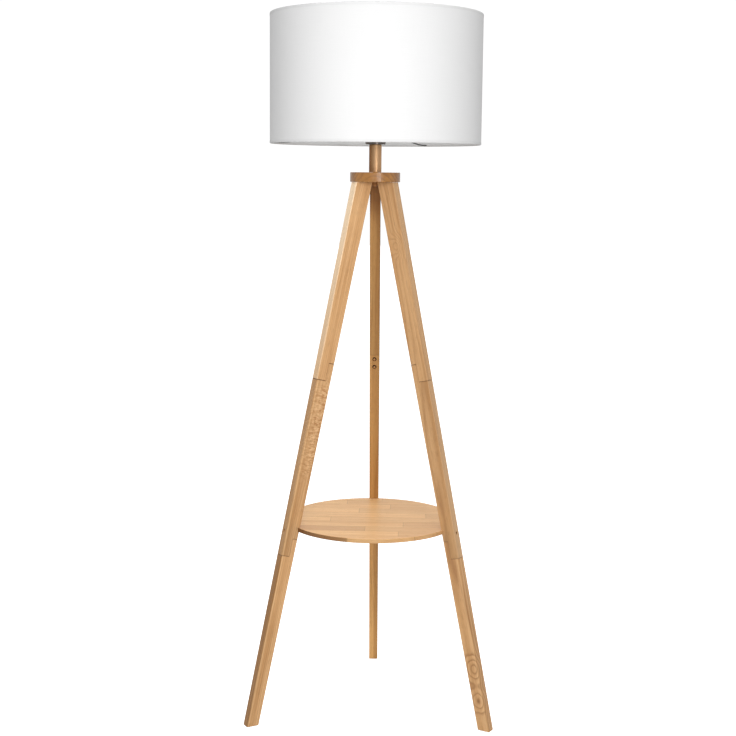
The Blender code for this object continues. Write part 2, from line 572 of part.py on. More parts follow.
# ---------------------------------------------------------------- rotary switch
# The empty holds the turning axis: its Z points out of the holder, along the lamp's +X.
switch_axis = empty("switch_axis", lamp, (0, 0, knob_level))
switch_axis.rotation_euler = (0, math.radians(90), 0)
knob_start = HOLDER_RADIUS + 2 * CLEARANCE
shaft_end = knob_start + 0.6 * KNOB_LENGTH
piece("switch_shaft", bar("shaft", (0, 0, SWITCH_SHAFT_START), (0, 0, shaft_end),
                          SWITCH_SHAFT_RADIUS), ZINC, switch_axis)
knob = turned("knob", [
    (SWITCH_SHAFT_RADIUS + CLEARANCE, knob_start), (0.82 * KNOB_RADIUS, knob_start),
    (KNOB_RADIUS, knob_start + 0.25 * KNOB_LENGTH), (KNOB_RADIUS, knob_start + 0.9 * KNOB_LENGTH),
    (0.88 * KNOB_RADIUS, knob_start + KNOB_LENGTH), (0, knob_start + KNOB_LENGTH),
    (0, shaft_end + CLEARANCE), (SWITCH_SHAFT_RADIUS + CLEARANCE, shaft_end + CLEARANCE)],
    2 * KNOB_FLUTES, ring=True)
for vertex in knob.vertices:
    step = round(math.degrees(math.atan2(vertex.co.y, vertex.co.x)) / (180 / KNOB_FLUTES))
    if step % 2 and vertex.co.xy.length > 0.8 * KNOB_RADIUS:
        vertex.co.xy *= 0.93
piece("switch_knob", knob, HOLDER_BLACK, switch_axis)

# ---------------------------------------------------------------- shade fitter and its clamp ring
# A washer over the holder's thread, wire spokes and the shade's lower ring, all welded.
fitter_hole = HOLDER_THREAD_RADIUS + CLEARANCE
fitter_ring_top = FITTER_RING_BOTTOM + FITTER_RING_THICKNESS


def spoke(azimuth):
    """A wire from the fitter's washer, clear of the clamp ring, down to the lower wire ring."""
    inner_z = FITTER_RING_BOTTOM + FITTER_RING_THICKNESS / 2
    start, end = CLAMP_RING_RADIUS + CLEARANCE, WIRE_RING_RADIUS
    bend, land = FITTER_RING_RADIUS + 0.008, WIRE_RING_RADIUS - 0.012
    path = [(start, inner_z), (bend, inner_z)]
    for i in range(1, 9):
        share = i / 9
        ease = share * share * (3 - 2 * share)
        path.append((bend + (land - bend) * share, inner_z + (LOWER_WIRE_Z - inner_z) * ease))
    path += [(land, LOWER_WIRE_Z), (end, LOWER_WIRE_Z)]
    shape = bmesh.new()
    rings = []
    for i, (radius, height) in enumerate(path):
        before, after = path[max(i - 1, 0)], path[min(i + 1, len(path) - 1)]
        slope = math.atan2(after[1] - before[1], after[0] - before[0])
        rings.append([shape.verts.new((radius - WIRE_RADIUS * math.sin(a) * math.sin(slope),
                                       WIRE_RADIUS * math.cos(a),
                                       height + WIRE_RADIUS * math.sin(a) * math.cos(slope)))
                      for a in (math.tau * (k + 0.5) / 8 for k in range(8))])
    for near, far in zip(rings, rings[1:]):
        for k in range(8):
            shape.faces.new((near[k - 1], near[k], far[k], far[k - 1]))
    shape.faces.new(rings[0])
    shape.faces.new(rings[-1])
    mesh = finished_mesh(shape, "spoke")
    mesh.transform(Matrix.Rotation(math.radians(azimuth), 4, "Z"))
    return mesh


fitter = turned("fitter", [
    (fitter_hole, FITTER_RING_BOTTOM), (FITTER_RING_RADIUS, FITTER_RING_BOTTOM),
    (FITTER_RING_RADIUS, fitter_ring_top), (fitter_hole, fitter_ring_top)], ring=True)
fitter = combined("shade_fitter", fitter,
                  [torus("ring", WIRE_RING_RADIUS, LOWER_WIRE_Z, WIRE_RADIUS)]
                  + [spoke(azimuth) for azimuth in FITTER_AZIMUTHS], "UNION")
piece("shade_fitter", fitter, WIRE, lamp)

ring_bottom = fitter_ring_top + CLEARANCE
ring_top = ring_bottom + CLAMP_RING_HEIGHT
piece("clamp_ring", turned("clamp_ring", [
    (fitter_hole, ring_bottom), (CLAMP_RING_RADIUS, ring_bottom), (CLAMP_RING_RADIUS, ring_top),
    (fitter_hole, ring_top)], ring=True), HOLDER_BLACK, lamp)

# ---------------------------------------------------------------- shade
# A thin drum whose hems turn in under and over the wire rings.
shade_top = SHADE_BOTTOM + SHADE_HEIGHT
wall_inside = SHADE_RADIUS - SHADE_WALL
hem_inside = SHADE_RADIUS - SHADE_HEM_DEPTH
piece("shade_drum", turned("shade", [
    (hem_inside, SHADE_BOTTOM), (SHADE_RADIUS, SHADE_BOTTOM), (SHADE_RADIUS, shade_top),
    (hem_inside, shade_top), (hem_inside, shade_top - SHADE_WALL),
    (wall_inside, shade_top - SHADE_WALL), (wall_inside, SHADE_BOTTOM + SHADE_WALL),
    (hem_inside, SHADE_BOTTOM + SHADE_WALL)], RING_STEPS, ring=True), SHADE_CLOTH, lamp)
piece("top_wire_ring", torus("ring", WIRE_RING_RADIUS, UPPER_WIRE_Z, WIRE_RADIUS), WIRE, lamp)

# ---------------------------------------------------------------- bulb
base_top = BULB_BOTTOM + BULB_BASE_HEIGHT
piece("bulb_base", turned("bulb_base", [
    (0, BULB_BOTTOM), (CONTACT_RADIUS, BULB_BOTTOM), (0.7 * BULB_BASE_RADIUS, BULB_BOTTOM + 0.003),
    (BULB_BASE_RADIUS, BULB_BOTTOM + 0.004), (BULB_BASE_RADIUS, base_top), (0, base_top)]),
    ZINC, lamp)
body_bottom = base_top + CLEARANCE
body_top = body_bottom + BULB_BODY_HEIGHT
piece("bulb_body", turned("bulb_body", [
    (0, body_bottom), (BULB_NECK_RADIUS, body_bottom), (BULB_NECK_RADIUS, body_bottom + 0.002)]
    + [(BULB_NECK_RADIUS + (BULB_BODY_RADIUS - BULB_NECK_RADIUS) * math.sin(math.radians(a)),
        body_bottom + 0.002 + (BULB_BODY_HEIGHT - 0.002) * (1 - math.cos(math.radians(a))))
       for a in (30, 60, 90)] + [(0, body_top)]), BULB_PLASTIC, lamp)
# The globe is a sphere cut where it is as wide as the top of the body.
globe_bottom = body_top + CLEARANCE
cut_angle = math.degrees(math.acos(BULB_BODY_RADIUS / BULB_GLOBE_RADIUS))
globe_centre = globe_bottom + math.sqrt(BULB_GLOBE_RADIUS ** 2 - BULB_BODY_RADIUS ** 2)
piece("bulb_globe", turned("bulb_globe", [(0, globe_bottom)] + arc(
    (0, globe_centre), BULB_GLOBE_RADIUS, -cut_angle, 90, 12)), BULB_GLOBE, lamp)
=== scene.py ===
"""Tripod floor lamp in oiled oak, with a round shelf, a copper neck and a white drum shade.

The file goes through the lamp from its legs up to the bulb, one section for each piece or group
of like pieces. Sizes are in metres, Z is up, the back leg points to +Y.
"""
import math

import bmesh
import bpy
import numpy as np
from mathutils import Matrix, Vector


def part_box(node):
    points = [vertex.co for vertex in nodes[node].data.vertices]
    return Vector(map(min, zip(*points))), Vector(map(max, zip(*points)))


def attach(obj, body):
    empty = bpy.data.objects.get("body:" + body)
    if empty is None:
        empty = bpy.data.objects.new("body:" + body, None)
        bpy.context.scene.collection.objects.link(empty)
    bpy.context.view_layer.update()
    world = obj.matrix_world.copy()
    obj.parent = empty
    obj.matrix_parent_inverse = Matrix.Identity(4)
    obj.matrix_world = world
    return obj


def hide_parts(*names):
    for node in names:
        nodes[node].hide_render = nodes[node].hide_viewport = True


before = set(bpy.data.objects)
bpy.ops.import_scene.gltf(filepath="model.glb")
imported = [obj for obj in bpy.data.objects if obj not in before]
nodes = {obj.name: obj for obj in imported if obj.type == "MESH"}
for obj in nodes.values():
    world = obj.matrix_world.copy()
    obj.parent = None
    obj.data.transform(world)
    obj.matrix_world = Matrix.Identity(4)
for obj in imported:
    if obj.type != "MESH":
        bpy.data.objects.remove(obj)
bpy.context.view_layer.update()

# ---------------------------------------------------------------- camera
# A short telephoto at the height of the hub, three metres in front of the lamp.
CAMERA_AT = (0.0749, -3.0206, 1.1810)
CAMERA_TURN = 1.658
CAMERA_PITCH = 8.01
CAMERA_ROLL = 0.549
LENS = 67.45

camera_data = bpy.data.cameras.new("camera")
camera_data.lens = LENS
camera_data.sensor_width = 36.0
camera = bpy.data.objects.new("camera", camera_data)
bpy.context.scene.collection.objects.link(camera)
looking = (Matrix.Rotation(math.radians(CAMERA_TURN), 4, "Z")
           @ Matrix.Rotation(math.radians(90 - CAMERA_PITCH), 4, "X")
           @ Matrix.Rotation(math.radians(CAMERA_ROLL), 4, "Z"))
camera.matrix_world = Matrix.Translation(CAMERA_AT) @ looking
bpy.context.scene.camera = camera
bpy.context.scene.view_settings.view_transform = "Standard"

# ---------------------------------------------------------------- studio
# A white room: pale floor, even white surroundings, two soft lights in front, a narrow one at the
# right for the sheen on turned and round pieces, one overhead and one behind.
FLOOR_SIDE = 40.0
ROOM_LIGHT = 0.70
SEEN_WHITE = 1.05
SOFT_LIGHTS = {
    "front": ((-0.08, -1.30, 1.32), (0.0, 0.0, 1.30), 0.30, 0.70, 6.6),
    "wide": ((0.5, -3.4, 1.3), (0.0, 0.0, 0.8), 1.2, 2.0, 3.4),
    "strip": ((0.54, -1.50, 1.20), (0.0, 0.0, 1.20), 0.14, 0.9, 4.2),
    "overhead": ((0.2, -0.6, 3.2), (0.0, 0.0, 0.4), 1.6, 1.6, 9.0),
    "rear": ((-0.9, 3.0, 2.0), (0.0, 0.0, 1.0), 1.4, 1.4, 14.0),
}

world = bpy.data.worlds.new("white_room")
bpy.context.scene.world = world
world.use_nodes = True
room = world.node_tree.nodes
wired = world.node_tree.links
background = room["Background"]
background.inputs["Color"].default_value = (1.0, 1.0, 1.0, 1.0)
ray = room.new("ShaderNodeLightPath")
seen = room.new("ShaderNodeMix")
seen.inputs[2].default_value = ROOM_LIGHT
seen.inputs[3].default_value = SEEN_WHITE
wired.new(ray.outputs["Is Camera Ray"], seen.inputs[0])
wired.new(seen.outputs[0], background.inputs["Strength"])

for name, (place, aim, width, height, power) in SOFT_LIGHTS.items():
    light = bpy.data.lights.new(name, "AREA")
    light.shape = "RECTANGLE"
    light.size = width
    light.size_y = height
    light.energy = power
    lit = bpy.data.objects.new(name, light)
    bpy.context.scene.collection.objects.link(lit)
    lit.location = place
    lit.rotation_euler = (Vector(aim) - Vector(place)).to_track_quat("-Z", "Y").to_euler()
    lit.visible_camera = False
    lit.visible_glossy = name in ("strip", "overhead")

floor_mesh = bpy.data.meshes.new("floor")
half = FLOOR_SIDE / 2
floor_mesh.from_pydata([(-half, -half, -0.0005), (half, -half, -0.0005), (half, half, -0.0005),
                        (-half, half, -0.0005)], [], [(0, 1, 2, 3)])
floor = bpy.data.objects.new("floor", floor_mesh)
bpy.context.scene.collection.objects.link(floor)
floor_white = bpy.data.materials.new("floor_white")
floor_white.use_nodes = True
floor_shader = floor_white.node_tree.nodes["Principled BSDF"]
floor_shader.inputs["Base Color"].default_value = (0.62, 0.62, 0.62, 1.0)
floor_shader.inputs["Roughness"].default_value = 1.0
floor_shader.inputs["Specular IOR Level"].default_value = 0.0
floor_shader.inputs["Emission Color"].default_value = (1.0, 1.0, 1.0, 1.0)
floor_ray = floor_white.node_tree.nodes.new("ShaderNodeLightPath")
floor_white.node_tree.links.new(floor_ray.outputs["Is Camera Ray"],
                                floor_shader.inputs["Emission Strength"])
floor_mesh.materials.append(floor_white)

# ---------------------------------------------------------------- legs
# Three tapered legs in solid oak, each in three lengths that are lapped and screwed together.
# Sanded, oiled and rubbed to a satin. The grain runs up the leg and starts anew in each length.
AXIS_Y = -0.0402
LEG_AZIMUTHS = {"back": 90.0, "left": 210.0, "right": 330.0}
LEG_FOOT_RADIUS = 0.292
LEG_TOP_RADIUS = 0.0318
LEG_TOP = 1.1637
LEG_DEPTH_FOOT = 0.0268
LEG_DEPTH_TOP = 0.0380
LAP_HEIGHTS = {"upper": 0.762, "lower": 0.386}
LAP_LENGTH = 0.038
LAP_SPLIT_SHARE = -0.12
LEG_LEAN = math.atan2(LEG_FOOT_RADIUS - LEG_TOP_RADIUS, LEG_TOP)

# Each length: how light it is, how much painted shade darkens its outer face (below zero,
# painted light makes it paler), where the heart of its log lay across the board, the gap
# between growth rings and their depth.
LENGTHS = {
    ("left", "upper"): (1.04, -0.95, (0.052, 0.016), 0.0038, 0.40),
    ("left", "middle"): (0.99, 0.26, (0.031, 0.043), 0.0046, 0.42),
    ("left", "lower"): (1.18, 0.80, (0.060, -0.021), 0.0040, 0.50),
    ("right", "upper"): (0.93, -0.05, (0.030, 0.040), 0.0052, 0.50),
    ("right", "middle"): (0.92, -0.30, (0.004, 0.041), 0.0056, 0.62),
    ("right", "lower"): (1.14, 0.16, (0.006, 0.052), 0.0078, 0.95),
    ("back", "upper"): (0.80, 0.0, (0.044, 0.031), 0.0048, 0.50),
    ("back", "middle"): (0.97, 0.0, (0.050, -0.020), 0.0045, 0.42),
    ("back", "lower"): (1.48, 0.0, (0.039, 0.040), 0.0042, 0.40),
}
# Knots: distance up the leg, distance outward from its middle, radius, darkness of the core.
KNOTS = {("right", "lower"): ((0.066, 0.001, 0.0066, 0.80), (0.136, 0.004, 0.0074, 0.0)),
         ("left", "upper"): ((0.762, -0.0075, 0.0016, 0.9), (0.771, -0.0060, 0.0013, 0.8)),
         ("left", "middle"): ((0.757, -0.0080, 0.0017, 0.9),),
         ("right", "upper"): ((1.055, 0.002, 0.0060, 0.0),)}


def step(tree, kind, feeds=(), out=0, **settings):
    """Add one node, feed its inputs with outputs or plain numbers, and return its output."""
    node = tree.nodes.new("ShaderNode" + kind)
    for key, value in settings.items():
        setattr(node, key, value)
    for place, feed in dict(feeds).items():
        if isinstance(feed, bpy.types.NodeSocket):
            tree.links.new(feed, node.inputs[place])
        else:
            node.inputs[place].default_value = feed
    return node.outputs[out]


def sum_of(tree, operation, *values, clamp=False):
    """One step of arithmetic between outputs and numbers."""
    return step(tree, "Math", enumerate(values), operation=operation, use_clamp=clamp)


def blended(tree, share, first, second):
    """Two colours mixed by a share from 0 to 1."""
    return step(tree, "Mix", {0: share, 6: first, 7: second}, out=2, data_type="RGBA",
                blend_type="MIX", clamp_result=False)


def ramped(tree, value, stops):
    """A number turned into another one through (place, level) stops."""
    node = tree.nodes.new("ShaderNodeValToRGB")
    ramp = node.color_ramp
    ramp.interpolation = "LINEAR"
    ramp.elements[0].position, ramp.elements[-1].position = stops[0][0], stops[-1][0]
    for place, level in stops[1:-1]:
        ramp.elements.new(place)
    for element, (place, level) in zip(ramp.elements, stops):
        element.color = (level, level, level, 1.0)
    tree.links.new(value, node.inputs[0])
    return node.outputs[0]


def finish(name, **sockets):
    """A new material, with the sockets of its Principled shader set by name."""
    made = bpy.data.materials.new(name)
    made.use_nodes = True
    shader = made.node_tree.nodes["Principled BSDF"]
    for socket, value in sockets.items():
        shader.inputs[socket.replace("_", " ")].default_value = value
    return made, made.node_tree, shader


def fine_texture(tree, shader, place, scale, detail, rough, spread, relief, depth=0.0002):
    """Fine noise at a place: it adds up to spread to the roughness, and raises a slight relief."""
    grit = step(tree, "TexNoise", {"Vector": place, "Scale": scale, "Detail": detail})
    tree.links.new(sum_of(tree, "MULTIPLY_ADD", grit, spread, rough), shader.inputs["Roughness"])
    bump = step(tree, "Bump", {"Strength": relief, "Distance": depth, "Height": grit})
    tree.links.new(bump, shader.inputs["Normal"])


def oiled_oak(name, corner, turn, tone, heart, colours, knots=(), marks=None, shine=0.40,
              ring_gap=0.0030, ring_depth=0.34, polish=0.06):
    """Oak on the piece's own coordinates: x and y across the board, z along the grain.

    Growth rings are circles about the heart of the log, so their phase is the distance from
    the heart, waved by slow noise, over the gap between rings; each knot pushes them aside.
    Long noise gives the fibres and broad streaks, and short dark dashes the pores.
    """
    made, tree, shader = finish(name, Specular_IOR_Level=0.28, Coat_Weight=polish,
                                Coat_Roughness=0.16)
    place = step(tree, "TexCoord", out=3)
    wood = step(tree, "Mapping", {0: place, 1: corner, 2: turn}, vector_type="TEXTURE")
    apart = tree.nodes.new("ShaderNodeSeparateXYZ")
    tree.links.new(wood, apart.inputs[0])
    across, wide, along = apart.outputs

    def noise(scales, detail=3.0, rough=0.55, shift=0.0):
        moved = step(tree, "Mapping", {0: wood, 1: (shift, shift, shift), 3: scales})
        return step(tree, "TexNoise", {"Vector": moved, "Scale": 1.0, "Detail": detail,
                                       "Roughness": rough})

    seed = 7.0 * heart[0] / 0.05 + 3.0 * heart[1] / 0.03
    wave = noise((26.0, 26.0, 2.6), 2.0, 0.5, seed)
    from_x = sum_of(tree, "SUBTRACT", across, heart[0])
    from_y = sum_of(tree, "SUBTRACT", wide, heart[1])
    radius = sum_of(tree, "SQRT", sum_of(
        tree, "ADD", sum_of(tree, "MULTIPLY", from_x, from_x),
        sum_of(tree, "MULTIPLY", from_y, from_y)))
    radius = sum_of(tree, "ADD", radius, sum_of(
        tree, "MULTIPLY", sum_of(tree, "SUBTRACT", wave, 0.5), 0.021))
    knot_dark = None
    for up, out, size, dark in knots:
        dx = sum_of(tree, "SUBTRACT", across, out)
        dz = sum_of(tree, "MULTIPLY", sum_of(tree, "SUBTRACT", along, up), 0.72)
        away = sum_of(tree, "SQRT", sum_of(tree, "ADD", sum_of(tree, "MULTIPLY", dx, dx),
                                           sum_of(tree, "MULTIPLY", dz, dz)))
        ratio = sum_of(tree, "DIVIDE", away, size)
        push = sum_of(tree, "EXPONENT", sum_of(
            tree, "MULTIPLY", sum_of(tree, "MULTIPLY", ratio, ratio), -0.16))
        radius = sum_of(tree, "ADD", radius, sum_of(tree, "MULTIPLY", push, 3.2 * size))
        core = sum_of(tree, "MULTIPLY", ramped(
            tree, ratio, ((0.0, 1.0), (0.20, 0.75), (0.38, 0.30), (0.7, 0.0))), dark)
        knot_dark = core if knot_dark is None else sum_of(tree, "MAXIMUM", knot_dark, core)
    rings = ramped(tree, sum_of(tree, "FRACT", sum_of(tree, "DIVIDE", radius, ring_gap)),
                   ((0.0, 0.25), (0.12, 0.0), (0.55, 0.22), (0.86, 1.0), (1.0, 0.25)))
    fibres = noise((620.0, 620.0, 11.0), 4.0, 0.62, seed)
    streaks = noise((95.0, 95.0, 2.2), 3.0, 0.55, seed + 5.0)
    clouds = noise((17.0, 17.0, 5.0), 2.0, 0.5, seed + 9.0)
    pores = ramped(tree, noise((1500.0, 1500.0, 60.0), 1.0, 0.5, seed + 13.0),
                   ((0.0, 0.0), (0.60, 0.0), (0.68, 1.0), (1.0, 1.0)))

    pale, mid, deep = [tuple(c * tone for c in colour) + (1.0,) for colour in colours]
    look = blended(tree, ramped(tree, streaks, ((0.34, 0.0), (0.66, 1.0))), pale, mid)
    look = blended(tree, sum_of(tree, "MULTIPLY", rings, ring_depth), look, deep)
    look = blended(tree, sum_of(tree, "MULTIPLY", ramped(
        tree, fibres, ((0.35, 0.0), (0.75, 1.0))), 0.30), look, deep)
    look = blended(tree, sum_of(tree, "MULTIPLY", ramped(
        tree, clouds, ((0.40, 0.0), (0.70, 1.0))), 0.40), look, pale)
    look = blended(tree, sum_of(tree, "MULTIPLY", pores, 0.30), look,
                   tuple(0.55 * c for c in deep[:3]) + (1.0,))
    if knot_dark is not None:
        look = blended(tree, sum_of(tree, "MULTIPLY", knot_dark, 0.75), look,
                       tuple(0.45 * c for c in deep[:3]) + (1.0,))
    if marks is not None:
        look = marks(tree, look, across, wide, along, noise)
    tree.links.new(look, shader.inputs["Base Color"])
    rough = sum_of(tree, "ADD", sum_of(tree, "MULTIPLY", fibres, 0.16),
                   sum_of(tree, "ADD", sum_of(tree, "MULTIPLY", pores, 0.12), shine - 0.08))
    tree.links.new(rough, shader.inputs["Roughness"])
    relief = sum_of(tree, "SUBTRACT", sum_of(tree, "ADD", sum_of(tree, "MULTIPLY", fibres, 0.5),
                                             sum_of(tree, "MULTIPLY", rings, 0.3)), pores)
    bump = step(tree, "Bump", {"Strength": 0.22, "Distance": 0.0004, "Height": relief})
    tree.links.new(bump, shader.inputs["Normal"])
    return made


def lap_marks(leg, length):
    """Marks on one length of leg: painted light and shade on its outer face, with a painted
    highlight along its arris, painted shade under the hub on the back leg, the dark lines
    where its laps close, and any figure that this length alone has."""
    def marks(tree, look, across, wide, along, noise):
        outer_light_shade = LENGTHS[leg, length][1]
        if leg == "back":
            # The board darkens from one edge to the other.
            side = ramped(tree, sum_of(tree, "ADD", sum_of(
                tree, "MULTIPLY_ADD", wide, -30.0, 0.40), sum_of(tree, "MULTIPLY", sum_of(
                    tree, "SUBTRACT", noise((60.0, 60.0, 2.0), 3.0, 0.6, 17.0), 0.5), 0.6)),
                ((0.0, 0.0), (0.20, 0.05), (0.62, 0.75), (1.0, 1.0)))
            look = blended(tree, sum_of(tree, "MULTIPLY", side, 0.58), look,
                           (0.240, 0.090, 0.016, 1.0))
            # Painted shade under the hub: the top of the back leg darkens where it sits close
            # under it.
            under = ramped(tree, sum_of(tree, "MULTIPLY", along, 0.8),
                           ((0.0, 0.0), (0.885, 0.0), (0.925, 0.62), (1.0, 0.62)))
            look = blended(tree, under, look, (0.150, 0.050, 0.012, 1.0))
        # Painted light and shade on the outer face: darker where it is shaded, with a painted
        # highlight along the arris; paler where it is lit, more so towards the top.
        if outer_light_shade:
            ragged = sum_of(tree, "ADD", across, sum_of(tree, "MULTIPLY", sum_of(
                tree, "SUBTRACT", noise((40.0, 40.0, 3.0), 3.0, 0.6, 31.0), 0.5), 0.006))
            half = sum_of(tree, "MULTIPLY_ADD", along,
                          (LEG_DEPTH_TOP - LEG_DEPTH_FOOT) / 2 / LEG_TOP, LEG_DEPTH_FOOT / 2)
            inward = sum_of(tree, "MULTIPLY", sum_of(tree, "SUBTRACT", half, ragged), 100.0)
            near = ramped(tree, inward, ((0.0, 1.0), (0.10, 0.9), (0.24, 0.0)))
            if outer_light_shade > 0:
                arris_highlight = ramped(tree, inward, ((0.0, 0.0), (0.16, 0.0), (0.30, 1.0), (0.55, 0.0)))
                look = blended(tree, sum_of(tree, "MULTIPLY", arris_highlight, 0.45), look, ARRIS_HIGHLIGHT)
                near = sum_of(tree, "MULTIPLY", near, sum_of(tree, "MULTIPLY_ADD", noise(
                    (260.0, 260.0, 5.0), 2.0, 0.5, 43.0), 1.2, 0.40), clamp=True)
            else:
                near = sum_of(tree, "MULTIPLY", near, ramped(
                    tree, sum_of(tree, "MULTIPLY", along, 0.8), ((0.0, 0.35), (0.62, 0.35),
                                                                 (0.92, 1.0))))
            look = blended(tree, sum_of(tree, "MULTIPLY", near, abs(outer_light_shade)), look,
                           OUTER_PAINTED_SHADE if outer_light_shade > 0 else OUTER_PAINTED_LIGHT)
        lines = None
        for lap, height in LAP_HEIGHTS.items():
            if (length, lap) in (("upper", "lower"), ("lower", "upper")):
                continue
            middle = height / math.cos(LEG_LEAN)
            depth = LEG_DEPTH_FOOT + (LEG_DEPTH_TOP - LEG_DEPTH_FOOT) * height / LEG_TOP
            split = LAP_SPLIT_SHARE * depth
            outer = sum_of(tree, "GREATER_THAN", across, split)
            end = sum_of(tree, "SUBTRACT", middle + LAP_LENGTH / 2,
                         sum_of(tree, "MULTIPLY", outer, LAP_LENGTH))
            off_end = sum_of(tree, "ABSOLUTE", sum_of(tree, "SUBTRACT", along, end))
            off_split = sum_of(tree, "MAXIMUM", sum_of(
                tree, "MULTIPLY", sum_of(tree, "ABSOLUTE", sum_of(
                    tree, "SUBTRACT", across, split)), 2.6), sum_of(
                tree, "SUBTRACT", sum_of(tree, "ABSOLUTE", sum_of(
                    tree, "SUBTRACT", along, middle)), LAP_LENGTH / 2))
            sharpness = {"left": 1.0, "right": 0.75, "back": 0.30}[leg]
            for off, dark in ((off_end, (0.90 if lap == "upper" else 0.60) * sharpness),
                              (off_split, 0.26)):
                line = ramped(tree, sum_of(tree, "MULTIPLY", off, 600.0),
                              ((0.0, dark), (0.36, 0.85 * dark), (0.80, 0.0)))
                lines = line if lines is None else sum_of(tree, "MAXIMUM", lines, line)
        look = blended(tree, lines, look, (0.150, 0.058, 0.019, 1.0))
        if (leg, length) == ("left", "middle"):
            # Ray flecks: short dark and pale waves across the grain, over a hand's length.
            reach = ramped(tree, sum_of(tree, "ABSOLUTE", sum_of(
                tree, "SUBTRACT", along, 0.655)), ((0.0, 1.0), (0.085, 0.8), (0.125, 0.0)))
            reach = sum_of(tree, "MULTIPLY", reach, ramped(tree, sum_of(
                tree, "MULTIPLY_ADD", across, -30.0, 0.5), ((0.0, 0.35), (0.5, 1.0))))
            for shift, share, tint in ((21.0, 0.80, (0.380, 0.165, 0.055, 1.0)),
                                       (27.0, 0.60, (0.860, 0.560, 0.300, 1.0))):
                flecks = ramped(tree, noise((120.0, 120.0, 260.0), 2.0, 0.6, shift),
                                ((0.0, 0.0), (0.50, 0.0), (0.62, 1.0)))
                look = blended(tree, sum_of(tree, "MULTIPLY", sum_of(
                    tree, "MULTIPLY", flecks, reach), share), look, tint)
        return look
    return marks


OAK_COLOURS = ((0.730, 0.445, 0.215), (0.550, 0.298, 0.122), (0.340, 0.158, 0.060))
GOLDEN_COLOURS = ((0.730, 0.425, 0.160), (0.550, 0.284, 0.090), (0.340, 0.150, 0.044))
OUTER_PAINTED_SHADE = (0.260, 0.108, 0.020, 1.0)
ARRIS_HIGHLIGHT = (0.900, 0.600, 0.310, 1.0)
OUTER_PAINTED_LIGHT = (1.000, 0.760, 0.510, 1.0)


def leg_turn(azimuth):
    """Euler angles of a leg's own frame: x outward, y sideways, z up the leaning centre line."""
    lean = Matrix.Rotation(-LEG_LEAN, 3, "Y")
    return (Matrix.Rotation(math.radians(azimuth), 3, "Z") @ lean).to_euler("XYZ")


def foot_point(azimuth):
    """Where a leg's centre line meets the floor."""
    return (LEG_FOOT_RADIUS * math.cos(math.radians(azimuth)),
            AXIS_Y + LEG_FOOT_RADIUS * math.sin(math.radians(azimuth)), 0.0)


for leg, azimuth in LEG_AZIMUTHS.items():
    for length in ("upper", "middle", "lower"):
        tone, _, heart, gap, depth = LENGTHS[leg, length]
        oak = oiled_oak(f"oak_{leg}_{length}", foot_point(azimuth), leg_turn(azimuth), tone, heart,
                        GOLDEN_COLOURS if leg == "back" else OAK_COLOURS,
                        KNOTS.get((leg, length), ()), lap_marks(leg, length), ring_gap=gap,
                        ring_depth=depth)
        nodes[f"leg_{length}_{leg}"].data.materials[0] = oak

# ---------------------------------------------------------------- screws in the laps and shelf
# Two domed socket screws through each lap, bronze with bright crowns and painted shadow
# darkening each head out to its rim, and one flat screw in blackened steel through each leg
# into the shelf.
SCREW_SPACING = 0.0185
SCREW_BRIGHT = (0.820, 0.480, 0.210, 1.0)
SCREW_RIM_SHADOW = (0.060, 0.018, 0.004, 1.0)


def blacked_steel():
    """Oxide black: dark metal whose roughness wanders a little."""
    made, tree, shader = finish("blackened_steel", Base_Color=(0.035, 0.031, 0.028, 1.0),
                                Metallic=0.75, Specular_IOR_Level=0.5)
    fine_texture(tree, shader, step(tree, "TexCoord", out=3), 900.0, 3.0, 0.24, 0.22, 0.12)
    return made


def bronzed_screw(name, corner, turn):
    """Bronze on a leg's own coordinates: bright near each screw's axis, and dark out at its rim
    with painted shadow.
    """
    made, tree, shader = finish(name, Metallic=0.85, Specular_IOR_Level=0.4)
    place = step(tree, "TexCoord", out=3)
    own = step(tree, "Mapping", {0: place, 1: corner, 2: turn}, vector_type="TEXTURE")
    apart = tree.nodes.new("ShaderNodeSeparateXYZ")
    tree.links.new(own, apart.inputs[0])
    nearest = None
    for height in LAP_HEIGHTS.values():
        for half in (-0.5, 0.5):
            off = sum_of(tree, "SUBTRACT", apart.outputs[2],
                         height / math.cos(LEG_LEAN) + half * SCREW_SPACING)
            away = sum_of(tree, "SQRT", sum_of(
                tree, "ADD", sum_of(tree, "MULTIPLY", off, off),
                sum_of(tree, "MULTIPLY", apart.outputs[1], apart.outputs[1])))
            nearest = away if nearest is None else sum_of(tree, "MINIMUM", nearest, away)
    # Painted shadow of the counterbore: each head darkens out towards its rim.
    rim = ramped(tree, sum_of(tree, "MULTIPLY", nearest, 200.0),
                 ((0.0, 0.0), (0.36, 0.0), (0.56, 1.0), (1.0, 1.0)))
    tree.links.new(blended(tree, rim, SCREW_BRIGHT, SCREW_RIM_SHADOW), shader.inputs["Base Color"])
    fine_texture(tree, shader, place, 900.0, 3.0, 0.36, 0.20, 0.12)
    return made


black_steel = blacked_steel()
for leg, azimuth in LEG_AZIMUTHS.items():
    nodes["shelf_screw_" + leg].data.materials[0] = black_steel
    bronze = bronzed_screw("bronze_" + leg, foot_point(azimuth), leg_turn(azimuth))
    for name, node in nodes.items():
        if name.startswith("lap_screw_") and leg in name:
            node.data.materials[0] = bronze

# ---------------------------------------------------------------- shelf
# A thin round shelf of edge-glued oak staves that run from side to side, let into the legs and
# rubbed to a low sheen. Some staves are butted from two lengths of different tone.
SHELF_COLOURS = ((1.000, 0.640, 0.310), (0.880, 0.510, 0.225), (0.520, 0.250, 0.088))
SHELF_DARK = (0.470, 0.245, 0.108, 1.0)
STAVE_WIDTH = 0.040
SHELF_REACH = 0.200
SHELF_RADIUS = 0.1860
RIM_SHADE = (0.165, 0.062, 0.016, 1.0)
